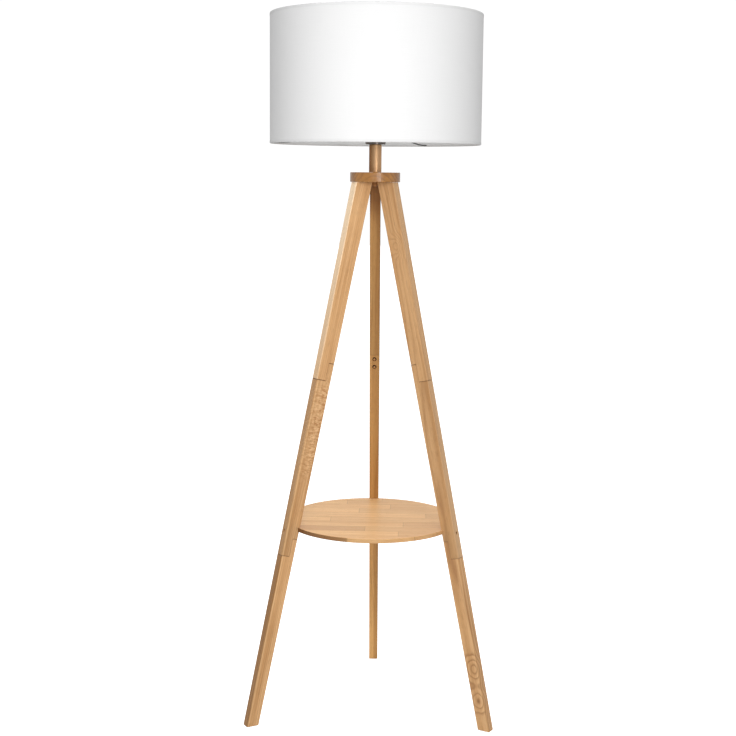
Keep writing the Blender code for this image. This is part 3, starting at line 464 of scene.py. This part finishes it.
# From the front stave to the back one: where it is butted, and the share of dark wood on its
# left and on its right.
STAVES = ((0.10, 0.14, 0.16), (0.06, 0.10, 0.34), (-0.012, 0.54, 0.34), (0.07, 0.18, 0.36),
          (-0.09, 0.04, 0.22), (0.12, 0.08, 0.30), (-0.03, 0.00, 0.24), (0.04, 0.04, 0.28),
          (-0.06, 0.00, 0.20), (0.02, 0.02, 0.24))


def stepped(tree, value, levels):
    """A number from 0 to 1 turned into one of several levels, a level for each equal share."""
    node = tree.nodes.new("ShaderNodeValToRGB")
    ramp = node.color_ramp
    ramp.interpolation = "CONSTANT"
    ramp.elements[-1].position = (len(levels) - 1) / len(levels)
    for i in range(1, len(levels) - 1):
        ramp.elements.new(i / len(levels))
    for element, level in zip(ramp.elements, levels):
        element.color = (level, level, level, 1.0)
    tree.links.new(value, node.inputs[0])
    return node.outputs[0]


def stave_marks(tree, look, across, wide, along, noise):
    """Each stave has its own tone left and right of its butt joint, and fine dark glue lines;
    painted shade darkens the rim.
    """
    share = sum_of(tree, "MULTIPLY_ADD", across, 0.5 / SHELF_REACH, 0.5)
    butt = sum_of(tree, "SUBTRACT", stepped(tree, share, [s[0] + 0.5 for s in STAVES]), 0.5)
    left = stepped(tree, share, [s[1] for s in STAVES])
    right = stepped(tree, share, [s[2] for s in STAVES])
    past = sum_of(tree, "SUBTRACT", along, butt)
    side = sum_of(tree, "GREATER_THAN", past, 0.0)
    dark = step(tree, "Mix", {0: side, 2: left, 3: right}, data_type="FLOAT")
    look = blended(tree, dark, look, SHELF_DARK)
    place = sum_of(tree, "FRACT", sum_of(tree, "DIVIDE", across, STAVE_WIDTH))
    off = sum_of(tree, "ABSOLUTE", sum_of(tree, "SUBTRACT", place, 0.5))
    glue = ramped(tree, off, ((0.0, 0.0), (0.480, 0.0), (0.497, 1.0)))
    end = ramped(tree, sum_of(tree, "MULTIPLY", sum_of(tree, "ABSOLUTE", past), 400.0),
                 ((0.0, 1.0), (0.12, 0.8), (0.30, 0.0)))
    look = blended(tree, sum_of(tree, "MULTIPLY", sum_of(tree, "MAXIMUM", glue, end), 0.50),
                   look, (0.290, 0.140, 0.052, 1.0))
    # The turned rim: painted shade, dark from the left end to just left of the middle, then paler.
    out = sum_of(tree, "SQRT", sum_of(tree, "ADD", sum_of(tree, "MULTIPLY", across, across),
                                      sum_of(tree, "MULTIPLY", along, along)))
    rim = sum_of(tree, "GREATER_THAN", out, SHELF_RADIUS - 0.0007)
    rim_shade_share = ramped(tree, sum_of(tree, "MULTIPLY_ADD", along, 2.5, 0.5),
                       ((0.0, 0.95), (0.12, 0.92), (0.380, 0.66), (0.388, 0.24), (0.80, 0.12),
                        (1.0, 0.20)))
    return blended(tree, sum_of(tree, "MULTIPLY", rim, rim_shade_share), look, RIM_SHADE)


shelf_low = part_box("shelf")[0]
GRAIN_ALONG_X = Matrix(((0, 0, 1), (1, 0, 0), (0, 1, 0))).to_euler("XYZ")
nodes["shelf"].data.materials[0] = oiled_oak(
    "oak_shelf", (0.0, AXIS_Y, shelf_low.z), GRAIN_ALONG_X, 1.0, (0.0, 0.16), SHELF_COLOURS,
    marks=stave_marks, shine=0.38, ring_gap=0.0075, ring_depth=0.22, polish=0.04)

# ---------------------------------------------------------------- hub
# A turned oak disc that closes the tops of the legs, darker in the grain than they are. Three
# countersunk bolts hold it, under the top face; they run in brass inserts in the legs.
HUB_COLOURS = ((0.425, 0.180, 0.026), (0.305, 0.114, 0.011), (0.125, 0.038, 0.002))
HUB_LACQUER_IOR = 1.72
HUB_LACQUER_ROUGH = 0.30
hub_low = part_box("hub_disc")[0]
nodes["hub_disc"].data.materials[0] = oiled_oak(
    "oak_hub", (0.0, AXIS_Y, hub_low.z), GRAIN_ALONG_X, 1.0, (0.012, 0.047), HUB_COLOURS,
    shine=0.38, ring_gap=0.0060, ring_depth=0.55, polish=1.0)
lacquer = nodes["hub_disc"].data.materials[0].node_tree.nodes["Principled BSDF"]
lacquer.inputs["Specular IOR Level"].default_value = 0.10
lacquer.inputs["Coat IOR"].default_value = HUB_LACQUER_IOR
lacquer.inputs["Coat Roughness"].default_value = HUB_LACQUER_ROUGH


def metal(name, colour, rough, grain=(1.0, 1.0, 1.0), spread=0.12, relief=0.05):
    """Bare or plated metal, its roughness and relief varied by fine noise drawn out by grain."""
    made, tree, shader = finish(name, Base_Color=(*colour, 1.0), Metallic=1.0)
    place = step(tree, "TexCoord", out=3)
    drawn = step(tree, "Mapping", {0: place, 3: grain})
    fine_texture(tree, shader, drawn, 900.0, 3.0, rough - spread / 2, spread, relief)
    return made


zinc = metal("zinc_plate", (0.60, 0.60, 0.58), 0.32)
brass = metal("brass_bright", (0.78, 0.57, 0.25), 0.26)
bronzed = metal("bronzed_steel", (0.420, 0.190, 0.066), 0.50)
bronzed.node_tree.nodes["Principled BSDF"].inputs["Metallic"].default_value = 0.25
for name in LEG_AZIMUTHS:
    nodes["hub_bolt_" + name].data.materials[0] = zinc
    nodes["hub_insert_" + name].data.materials[0] = brass

# ---------------------------------------------------------------- rod, washer and nut
# A hollow threaded rod, bronzed, that pulls the holder, the neck and the hub together.
for name in ("threaded_rod", "rod_washer", "rod_nut"):
    nodes[name].data.materials[0] = bronzed

# ---------------------------------------------------------------- neck
# A drawn copper tube over the threaded rod, with both ends rounded over, brushed round its
# length and lacquered. Painted shade darkens the copper on its left flank.
NECK_END_ROUND = 0.0005
NECK_WALL = 0.0012
COPPER_BRIGHT = (0.840, 0.525, 0.285)
COPPER_IN_SHADE = (0.290, 0.118, 0.034)
FINE_STEPS = 144


def surface(name, grid, look, around=True, along=False, sharp=40.0, extra=()):
    """A piece from grids of points, rows by columns by xyz: quads join each four neighbours.

    around joins the last column to the first, along joins the last row to the first. Rows that
    shrink to one point become a pole. Doubles are merged and faces turned outward.
    """
    points, faces, count = [], [], 0
    for part in (grid, *extra):
        rows, columns = part.shape[:2]
        index = np.arange(rows * columns).reshape(rows, columns) + count
        count += rows * columns
        if around:
            index = np.hstack([index, index[:, :1]])
        if along:
            index = np.vstack([index, index[:1]])
        faces.append(np.stack([index[:-1, :-1], index[:-1, 1:], index[1:, 1:], index[1:, :-1]],
                              axis=-1).reshape(-1, 4))
        points.append(part.reshape(-1, 3))
    mesh = bpy.data.meshes.new(name)
    mesh.from_pydata(np.concatenate(points).tolist(), [], np.concatenate(faces).tolist())
    shape = bmesh.new()
    shape.from_mesh(mesh)
    bmesh.ops.remove_doubles(shape, verts=shape.verts, dist=1e-7)
    bmesh.ops.recalc_face_normals(shape, faces=shape.faces)
    shape.to_mesh(mesh)
    shape.free()
    mesh.shade_smooth()
    mesh.set_sharp_from_angle(angle=math.radians(sharp))
    mesh.materials.append(look)
    made = bpy.data.objects.new(name, mesh)
    bpy.context.scene.collection.objects.link(made)
    return made


def carried_round(outline, steps=FINE_STEPS, radius_change=None):
    """Points of an outline of (radius, height) carried round the lamp's axis.

    x = radius cos a, y = axis + radius sin a; radius_change adds to the radius as a function
    of the radius, the height and the angle.
    """
    outline = np.asarray(outline, float)
    angle = np.linspace(0.0, math.tau, steps, endpoint=False)[None, :]
    radius = np.repeat(outline[:, :1], steps, axis=1)
    height = np.repeat(outline[:, 1:2], steps, axis=1)
    if radius_change is not None:
        radius = radius + radius_change(radius, height, angle)
    return np.stack([radius * np.cos(angle), AXIS_Y + radius * np.sin(angle), height], axis=-1)


def rounded(centre, radius, first, last, count=6):
    """(radius, height) points on an arc between two angles in degrees."""
    turn = np.radians(np.linspace(first, last, count))
    return np.stack([centre[0] + radius * np.cos(turn), centre[1] + radius * np.sin(turn)], 1)


def kept(piece, body, slot, *stands_for):
    """The piece moves with a body and stands for its CAD nodes, which it hides; slot is not used.
    """
    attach(piece, body)
    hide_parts(*stands_for)
    return piece


neck_low, neck_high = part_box("neck_tube")
neck_radius = neck_high.x
e = NECK_END_ROUND
neck_outline = np.concatenate([
    [(neck_radius - NECK_WALL, neck_low.z + e)],
    rounded((neck_radius - e, neck_low.z + e), e, -90, 0),
    rounded((neck_radius - e, neck_high.z - e), e, 0, 90),
    [(neck_radius - NECK_WALL, neck_high.z - e)]])
copper = metal("brushed_copper", COPPER_BRIGHT, 0.46, (0.15, 0.15, 4.0), 0.10, 0.08)
copper_tree = copper.node_tree
neck_axes = copper_tree.nodes.new("ShaderNodeSeparateXYZ")
copper_tree.links.new(step(copper_tree, "TexCoord", out=3), neck_axes.inputs[0])
# Painted shade: the copper darkens towards the neck's left flank (-X), and a little on the right.
neck_shade_share = ramped(copper_tree, sum_of(copper_tree, "MULTIPLY_ADD", neck_axes.outputs[0],
                                     0.5 / neck_radius, 0.5),
                 ((0.0, 1.0), (0.12, 0.85), (0.45, 0.14), (0.60, 0.0), (1.0, 0.24)))
copper_tree.links.new(blended(copper_tree, neck_shade_share, (*COPPER_BRIGHT, 1.0),
                              (*COPPER_IN_SHADE, 1.0)),
                      copper_tree.nodes["Principled BSDF"].inputs["Base Color"])
neck = surface("neck", carried_round(neck_outline), copper, along=True)
kept(neck, "lamp", "copper", "neck_tube")

# ---------------------------------------------------------------- lamp holder
# Black moulded resin, glossy: a flared cap with a polished band round its foot, and above it
# the shell with its thread. Inside are a porcelain core, the brass socket and its centre contact.
THREAD_PITCH = 0.0025
THREAD_DEPTH = 0.0005
SHELL_BORE = 0.0170
SHELL_THREAD_RADIUS = 0.0190
SHOULDER_HEIGHT = 0.0030


def glossy_resin():
    """Moulded black resin with faint flow marks and fine dust."""
    made, tree, shader = finish("black_resin", Base_Color=(0.016, 0.013, 0.012, 1.0),
                                Specular_IOR_Level=0.55)
    fine_texture(tree, shader, step(tree, "TexCoord", out=3), 160.0, 4.0, 0.08, 0.10, 0.05,
                 depth=0.0003)
    return made


resin = glossy_resin()
nodes["holder_cap"].data.materials[0] = resin
cap_low, cap_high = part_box("holder_cap")
cap_radius = (cap_high.y - cap_low.y) / 2
BAND_THICKNESS = 0.0006
BAND_HEIGHT = 0.0048
BAND_LEAN = 0.0005
nickel = metal("black_nickel", (0.190, 0.160, 0.140), 0.24, spread=0.06, relief=0.02)
r0, r1 = cap_radius + 0.0001, cap_radius + 0.0001 + BAND_THICKNESS
z0, z1 = cap_low.z + 0.0001, cap_low.z + BAND_HEIGHT
band_outline = [(r0 - BAND_LEAN, z0), (r1 - BAND_LEAN - 0.0002, z0),
                (r1 - BAND_LEAN, z0 + 0.0002), (r1, z1 - 0.0002), (r1 - 0.0002, z1), (r0, z1)]
band = surface("cap_band", carried_round(band_outline), nickel, along=True, sharp=25.0)
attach(band, "lamp")
shell_low, shell_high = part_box("holder_shell")
shoulder = shell_low.z + SHOULDER_HEIGHT
thread_rows = np.linspace(shoulder + 0.0006, shell_high.z - 0.0004, 120)


def shell_thread(radius, height, angle):
    """A round-crested screw thread: a cosine of height over pitch less the angle, full in the
    middle and fading at both ends, cut into the outer wall alone."""
    fade = np.clip((height - shoulder - 0.0010) / 0.0015, 0, 1) * np.clip(
        (shell_high.z - 0.0008 - height) / 0.0015, 0, 1)
    cut = 0.5 - 0.5 * np.cos(math.tau * height / THREAD_PITCH - angle)
    wall = np.abs(radius - SHELL_THREAD_RADIUS) < 1e-6
    return np.where(wall, -THREAD_DEPTH * fade * cut, 0.0)


shell_outline = np.concatenate([
    [(SHELL_BORE, shell_low.z), (shell_high.x - 0.0004, shell_low.z)],
    rounded((shell_high.x - 0.0004, shell_low.z + 0.0004), 0.0004, -90, 0, 4)[1:],
    rounded((shell_high.x - 0.0005, shoulder - 0.0005), 0.0005, 0, 90, 5),
    [(SHELL_THREAD_RADIUS, shoulder)],
    np.stack([np.full_like(thread_rows, SHELL_THREAD_RADIUS), thread_rows], 1),
    [(SHELL_THREAD_RADIUS - 0.0004, shell_high.z), (SHELL_BORE, shell_high.z)]])
shell = surface("threaded_shell", carried_round(shell_outline, radius_change=shell_thread),
                resin, along=True, sharp=50.0)
kept(shell, "lamp", "holder_black", "holder_shell")
glazed = finish("glazed_porcelain", Base_Color=(0.80, 0.79, 0.75, 1.0), Roughness=0.18,
                Coat_Weight=0.4, Coat_Roughness=0.05)[0]
nodes["holder_core"].data.materials[0] = glazed
for name in ("screw_shell", "centre_contact"):
    nodes[name].data.materials[0] = brass

# ---------------------------------------------------------------- rotary switch
# A fluted knob pushed on a zinc shaft, with a raised pointer along one side. It turns about
# the shaft, which points out of the cap to the lamp's right.
KNOB_FLUTES = 12
KNOB_FLUTE_DEPTH = 0.00035
KNOB_POINTER = 0.0005
KNOB_BORE_RADIUS = 0.0023
KNOB_BORE_DEPTH = 0.0070
knob_low, knob_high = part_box("switch_knob")
knob_z = (knob_low.z + knob_high.z) / 2
knob_radius = (knob_high.z - knob_low.z) / 2 - KNOB_POINTER
span = knob_high.x - knob_low.x
profile = np.array([
    (KNOB_BORE_RADIUS, 0.0), (0.80 * knob_radius, 0.0), (0.86 * knob_radius, 0.02), (0.97, 0.22),
    (1.0, 0.27), (1.0, 0.30), (1.0, 0.50), (1.0, 0.70), (1.0, 0.86), (0.985, 0.91),
    (0.95, 0.955), (0.89, 0.985), (0.80, 1.0), (0.70, 1.0), (0.66, 0.985), (0.30, 0.985),
    (0.0, 0.985)])
profile[3:, 0] *= knob_radius
turn = np.linspace(0.0, math.tau, 192, endpoint=False)[None, :]
grip = np.clip((profile[:, 1:] - 0.18) / 0.12, 0, 1) * np.clip((profile[:, :1] / knob_radius
                                                              - 0.75) / 0.1, 0, 1)
away = np.abs((turn - math.pi / 2 + math.pi) % math.tau - math.pi)
reach = (profile[:, :1] - grip * KNOB_FLUTE_DEPTH * (0.5 - 0.5 * np.cos(KNOB_FLUTES * turn)) ** 0.6
         + grip * KNOB_POINTER * np.exp(-(away / 0.10) ** 4))
knob_grid = np.stack([knob_low.x + profile[:, 1:] * span + 0 * turn,
                      AXIS_Y + reach * np.cos(turn), knob_z + reach * np.sin(turn)], axis=-1)
bore = [np.stack([np.full_like(turn, knob_low.x + KNOB_BORE_DEPTH),
                  AXIS_Y + radius * np.cos(turn), knob_z + radius * np.sin(turn)], axis=-1)
        for radius in (0.0, KNOB_BORE_RADIUS)]
knob = surface("knob", np.concatenate([*bore, knob_grid]), resin, sharp=35.0)
kept(knob, "switch", "holder_black", "switch_knob")
nodes["switch_shaft"].data.materials[0] = zinc

# ---------------------------------------------------------------- fitter and clamp ring
# Wire painted black: a washer on the holder's shoulder, three spokes bent down from it, and
# the ring they are welded to. A second ring stiffens the top. A fluted resin ring clamps it.
WIRE_RADIUS = 0.0015
WIRE_RING_RADIUS = 0.2222
FITTER_AZIMUTHS = (60.0, 180.0, 300.0)
SPOKE_BEND_RADIUS = 0.0370
WASHER_BORE = 0.0193
WASHER_RADIUS = 0.0290
CLAMP_FLUTES = 36
RING_STEPS = 288


def painted_wire():
    """Black enamel on steel wire, a little orange-peeled."""
    made, tree, shader = finish("black_enamel", Base_Color=(0.028, 0.028, 0.028, 1.0),
                                Specular_IOR_Level=0.5)
    fine_texture(tree, shader, step(tree, "TexCoord", out=3), 1400.0, 2.0, 0.22, 0.20, 0.10)
    return made


enamel = painted_wire()
fitter_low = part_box("shade_fitter")[0]
top_low, top_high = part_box("top_wire_ring")
clamp_low, clamp_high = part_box("clamp_ring")
lower_wire = fitter_low.z + WIRE_RADIUS
upper_wire = (top_low.z + top_high.z) / 2
washer_low, washer_high = shoulder + 0.0003, clamp_low.z - 0.0003
e = 0.0003
washer = carried_round([
    (WASHER_BORE, washer_low), (WASHER_RADIUS - e, washer_low), (WASHER_RADIUS, washer_low + e),
    (WASHER_RADIUS, washer_high - e), (WASHER_RADIUS - e, washer_high),
    (WASHER_BORE, washer_high), (WASHER_BORE, washer_low)])


def wire_ring(height):
    """A ring of round wire about the lamp's axis."""
    section = rounded((WIRE_RING_RADIUS, height), WIRE_RADIUS, 0, 360, 13)
    return carried_round(section, RING_STEPS)


def wire_spoke(azimuth):
    """Round wire swept from the washer to the lower ring: level, an easy S down, level again,
    (3 s s - 2 s s s) of the drop at share s of the way. Each section stands square to the run."""
    share = np.concatenate([[-0.06], np.linspace(0, 1, 33), [1.06]])
    ease = np.clip(share, 0, 1) ** 2 * (3 - 2 * np.clip(share, 0, 1))
    inner, land = SPOKE_BEND_RADIUS, WIRE_RING_RADIUS - 0.0120
    level = (washer_low + washer_high) / 2
    radius = inner + (land - inner) * share
    radius[0], radius[-1] = 0.0253, WIRE_RING_RADIUS
    height = level + (lower_wire - level) * ease
    slope = np.arctan2(np.gradient(height), np.gradient(radius))[:, None]
    turn = np.linspace(0, math.tau, 12, endpoint=False)[None, :]
    r = radius[:, None] - WIRE_RADIUS * np.sin(turn) * np.sin(slope)
    z = height[:, None] + WIRE_RADIUS * np.sin(turn) * np.cos(slope)
    side = WIRE_RADIUS * np.cos(turn) + 0 * slope
    a = math.radians(azimuth)
    tube = np.stack([r * math.cos(a) - side * math.sin(a),
                     AXIS_Y + r * math.sin(a) + side * math.cos(a), z], axis=-1)
    ends = [np.repeat(tube[i].mean(0)[None, None], 12, axis=1) for i in (0, -1)]
    return np.concatenate([ends[0], tube, ends[1]])


fitter = surface("wire_fitter", washer, enamel,
                 extra=[wire_ring(lower_wire)] + [wire_spoke(a) for a in FITTER_AZIMUTHS])
kept(fitter, "lamp", "fitter_wire", "shade_fitter")
top_wire = surface("top_wire", wire_ring(upper_wire), enamel)
kept(top_wire, "lamp", "fitter_wire", "top_wire_ring")


def ring_flutes(radius, height, angle):
    """Shallow flutes in the ring's rim: the root of a cosine, outer wall alone."""
    rim = np.clip((radius - (clamp_high.x - 0.0012)) / 0.0008, 0, 1)
    return -0.0006 * rim * np.sqrt(0.5 - 0.5 * np.cos(CLAMP_FLUTES * angle))


r, z0, z1 = clamp_high.x, clamp_low.z, clamp_high.z
clamp_outline = np.concatenate([
    [(WASHER_BORE, z0), (r - 0.0012, z0)], rounded((r - 0.0006, z0 + 0.0006), 0.0006, -90, 0, 5),
    rounded((r - 0.0006, z1 - 0.0006), 0.0006, 0, 90, 5),
    [(r - 0.0012, z1), (0.0205, z1), (0.0200, z1 - 0.0004), (WASHER_BORE, z1 - 0.0004)]])
clamp = surface("clamp", carried_round(clamp_outline, 432, ring_flutes), resin, along=True)
kept(clamp, "lamp", "holder_black", "clamp_ring")

# ---------------------------------------------------------------- shade
# White cotton glued to a stiff liner and lapped at the back, with a self tape rolled over each
# wire ring: down the outside, round the wire and up to the liner.
shade_low, shade_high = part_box("shade_drum")
SHADE_RADIUS = shade_high.x
CLOTH_THICKNESS = 0.0004
LINER_THICKNESS = 0.0005
SEAM_LAP = 0.014
SEAM_AT = math.pi / 2
THREAD = 0.00062
HEM_OUTSIDE = 0.0062
HEM_INSIDE = 0.0088
TAPE = 0.0003


def cotton(name, white, slub):
    """Plain weave on the piece's own UV map, in metres: the product of two sines gives the
    crossings, drawn-out noise the thick and thin threads."""
    made, tree, shader = finish(name, Roughness=0.92, Specular_IOR_Level=0.12,
                                Sheen_Weight=0.06, Sheen_Roughness=0.5)
    weave = step(tree, "UVMap", uv_map="weave")
    apart = tree.nodes.new("ShaderNodeSeparateXYZ")
    tree.links.new(weave, apart.inputs[0])
    across, up = apart.outputs[0], apart.outputs[1]
    warp = sum_of(tree, "SINE", sum_of(tree, "MULTIPLY", across, math.tau / THREAD))
    weft = sum_of(tree, "SINE", sum_of(tree, "MULTIPLY", up, math.tau / THREAD))
    crossing = sum_of(tree, "MULTIPLY", warp, weft)

    def threads(scales, shift):
        moved = step(tree, "Mapping", {0: weave, 1: (shift, shift, 0.0), 3: scales})
        return step(tree, "TexNoise", {"Vector": moved, "Scale": 1.0, "Detail": 3.0})

    thick_weft = threads((22.0, 1500.0, 1.0), 0.0)
    thick_warp = threads((1500.0, 18.0, 1.0), 7.0)
    uneven = sum_of(tree, "ADD", thick_weft, sum_of(tree, "MULTIPLY", thick_warp, 0.7))
    shade = sum_of(tree, "MULTIPLY", ramped(tree, uneven, ((0.55, 0.0), (1.0, 1.0))), slub)
    shade = sum_of(tree, "ADD", shade, sum_of(tree, "MULTIPLY", crossing, 0.012))
    look = blended(tree, shade, (*white, 1.0), tuple(0.90 * c for c in white) + (1.0,))
    tree.links.new(look, shader.inputs["Base Color"])
    relief = sum_of(tree, "ADD", crossing, sum_of(tree, "MULTIPLY", uneven, 1.4))
    bump = step(tree, "Bump", {"Strength": 0.16, "Distance": 0.0002, "Height": relief})
    tree.links.new(bump, shader.inputs["Normal"])
    return made


def mapped(piece, centre_radius):
    """Give the piece its weave map: u is the angle round the lamp times the shade's radius, v is
    the height less the distance inward, so that it runs on over the rolled edges."""
    mesh = piece.data
    points = np.zeros(len(mesh.vertices) * 3)
    mesh.vertices.foreach_get("co", points)
    points = points.reshape(-1, 3)
    corners = np.zeros(len(mesh.loops), int)
    mesh.loops.foreach_get("vertex_index", corners)
    starts = np.zeros(len(mesh.polygons), int)
    mesh.polygons.foreach_get("loop_start", starts)
    totals = np.zeros(len(mesh.polygons), int)
    mesh.polygons.foreach_get("loop_total", totals)
    x, y = points[corners, 0], points[corners, 1] - AXIS_Y
    turn = np.arctan2(y, x)
    first = np.repeat(turn[starts], totals)
    turn = first + (turn - first + math.pi) % math.tau - math.pi
    radius = np.hypot(x, y)
    flat = np.stack([turn * centre_radius, points[corners, 2] - (centre_radius - radius)], 1)
    layer = mesh.uv_layers.new(name="weave")
    layer.data.foreach_set("uv", flat.astype(np.float32).ravel())


def lapped_sheet(outer, thickness, low, high, lap, steps=360):
    """A strip rolled into a drum that laps itself: the radius drops by one thickness along the
    last part of the turn, and its section is a closed thin rectangle. The outer end is capped;
    the inner one, under the lap, is open."""
    turn = np.linspace(-lap / outer / 2, math.tau + lap / outer / 2, steps)
    drop = np.clip((turn - (math.tau - 2.5 * lap / outer)) / (1.4 * lap / outer), 0, 1)
    drop = drop * drop * (3 - 2 * drop) * thickness
    rows = 13
    heights = np.linspace(low, high, rows)
    radii = np.concatenate([np.full(rows, outer), np.full(rows, outer - thickness)])
    levels = np.concatenate([heights, heights[::-1]])
    radius = radii[:, None] - drop[None, :]
    around = (turn + SEAM_AT)[None, :]
    wall = np.stack([radius * np.cos(around), AXIS_Y + radius * np.sin(around),
                     levels[:, None] + 0 * around], axis=-1)
    cap = np.stack([wall[:rows, 0], wall[:rows - 1:-1, 0]], axis=1)
    return np.concatenate([wall, wall[:1]]), [cap]


def rolled_tape(edge, inward):
    """The hem tape's section, edge to edge: its middle line runs along the outside, half round
    the wire and slopes back to the liner, and the section is that line made TAPE thick."""
    outside, inside = SHADE_RADIUS + TAPE / 2, WIRE_RING_RADIUS - WIRE_RADIUS - 0.0004
    bend = (outside - inside) / 2
    middle = np.concatenate([
        np.stack([np.full(8, outside), np.linspace(HEM_OUTSIDE, bend, 8)], 1),
        rounded((inside + bend, bend), bend - TAPE / 2, 0, -180, 15)[1:-1] + (0, TAPE / 2),
        np.array([(inside, bend), (inside, bend + 0.0018), (inside + 0.0006, bend + 0.0034),
                  (inside + 0.0018, bend + 0.0048), (SHADE_RADIUS - 0.0014, HEM_INSIDE)])])
    run = np.gradient(middle, axis=0)
    run /= np.linalg.norm(run, axis=1)[:, None]
    square = np.stack([-run[:, 1], run[:, 0]], 1) * TAPE / 2
    section = np.concatenate([middle + square, (middle - square)[::-1]])
    section[:, 1] = edge + inward * section[:, 1]
    return np.concatenate([section, section[:1]])


def puckers(radius, height, angle):
    """The tape lies a little unevenly: three slow waves round the lamp, a tenth of a
    millimetre at most, strongest on the inside."""
    wave = np.sin(61 * angle) + 0.7 * np.sin(97 * angle + 1.1) + 0.5 * np.sin(23 * angle + 2.0)
    inside = np.clip((SHADE_RADIUS - 0.001 - radius) / 0.003, 0, 1)
    return 0.00004 * wave * (0.5 + inside)


shade_cotton = cotton("shade_cotton", (0.730, 0.730, 0.730), 0.28)
tape_cotton = cotton("tape_cotton", (0.690, 0.690, 0.690), 0.28)
body, caps = lapped_sheet(SHADE_RADIUS, CLOTH_THICKNESS, shade_low.z + 0.0010,
                          shade_high.z - 0.0010, SEAM_LAP)
cloth = surface("shade_cloth", body, shade_cotton, around=False, extra=caps)
mapped(cloth, SHADE_RADIUS)
kept(cloth, "lamp", "shade_cloth", "shade_drum")
lower_hem = surface("lower_hem", carried_round(rolled_tape(shade_low.z, 1), RING_STEPS * 2,
                                               puckers), tape_cotton)
upper_hem = surface("upper_hem", carried_round(rolled_tape(shade_high.z, -1), RING_STEPS * 2,
                                               puckers), tape_cotton)
for hem in (lower_hem, upper_hem):
    mapped(hem, SHADE_RADIUS)
    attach(hem, "lamp")

liner_white, tree, shader = finish("liner_white", Base_Color=(0.86, 0.86, 0.85, 1.0),
                                   Specular_IOR_Level=0.35)
cloudy = step(tree, "TexNoise", {"Vector": step(tree, "TexCoord", out=3), "Scale": 60.0,
                                 "Detail": 4.0})
tree.links.new(sum_of(tree, "MULTIPLY_ADD", cloudy, 0.2, 0.42), shader.inputs["Roughness"])
body, caps = lapped_sheet(SHADE_RADIUS - 2 * CLOTH_THICKNESS - 0.0002, LINER_THICKNESS,
                          shade_low.z + 0.0012, shade_high.z - 0.0012, SEAM_LAP * 0.7)
liner = surface("shade_liner", body, liner_white, around=False, extra=caps)
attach(liner, "lamp")

# ---------------------------------------------------------------- bulb
# An opal lamp: a plated screw base with a dark glass foot, a white plastic body that swells
# from it, and a frosted globe seated in the body's rim.
base_low, base_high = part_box("bulb_base")
body_low, body_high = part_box("bulb_body")
globe_low, globe_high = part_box("bulb_globe")
BASE_PITCH = 0.0036
base_radius = base_high.x


def base_thread(radius, height, angle):
    """The rolled thread of the base: one round turn each pitch, fading at both ends."""
    fade = np.clip((height - base_low.z - 0.0050) / 0.002, 0, 1) * np.clip(
        (base_high.z - 0.0030 - height) / 0.002, 0, 1)
    wave = 0.5 - 0.5 * np.cos(math.tau * height / BASE_PITCH - angle)
    return np.where(radius > base_radius - 1e-6, -0.0009 * fade * wave, 0.0)


rows = np.linspace(base_low.z + 0.0042, base_high.z, 90)
base_outline = np.concatenate([
    [(0.0, base_low.z), (0.0040, base_low.z), (0.0052, base_low.z + 0.0004),
     (0.0090, base_low.z + 0.0028), (0.0118, base_low.z + 0.0036)],
    np.stack([np.full_like(rows, base_radius), rows], 1), [(0.0, base_high.z)]])
base = surface("bulb_screw", carried_round(base_outline, 96, base_thread), zinc)
kept(base, "lamp", "zinc", "bulb_base")

swell = np.radians(np.linspace(0, 90, 25))
neck_width, rim_width = 0.0142, body_high.x
body_outline = np.concatenate([
    [(0.0, body_low.z), (neck_width - 0.0006, body_low.z), (neck_width, body_low.z + 0.0006)],
    np.stack([neck_width + (rim_width - neck_width) * np.sin(swell),
              body_low.z + 0.002 + (body_high.z - body_low.z - 0.0028) * (1 - np.cos(swell))], 1),
    [(rim_width - 0.0002, body_high.z - 0.0002), (rim_width - 0.0008, body_high.z),
     (0.0, body_high.z)]])


def frosted(name, colour, rough, soft):
    """Plastic with a faint moulded texture; soft lets a little light wander under its face."""
    made, tree, shader = finish(name, Base_Color=(*colour, 1.0), Subsurface_Weight=soft,
                                Subsurface_Radius=(0.004, 0.004, 0.004),
                                Specular_IOR_Level=0.45)
    fine_texture(tree, shader, step(tree, "TexCoord", out=3), 700.0, 3.0, rough, 0.16, 0.04)
    return made


bulb_shell = surface("bulb_shell", carried_round(body_outline, 96),
                     frosted("bulb_plastic", (0.86, 0.86, 0.84), 0.34, 0.0))
kept(bulb_shell, "lamp", "bulb_plastic", "bulb_body")
globe_radius = globe_high.x
globe_centre = globe_high.z - globe_radius
cut = math.degrees(math.asin((globe_centre - globe_low.z) / globe_radius))
globe_outline = np.concatenate([[(0.0, globe_low.z)],
                                rounded((0.0, globe_centre), globe_radius, -cut, 90, 40)])
globe_outline[-1, 0] = 0.0
globe = surface("bulb_opal", carried_round(globe_outline, 96),
                frosted("opal_globe", (0.92, 0.92, 0.90), 0.30, 0.15))
kept(globe, "lamp", "bulb_globe", "bulb_globe")
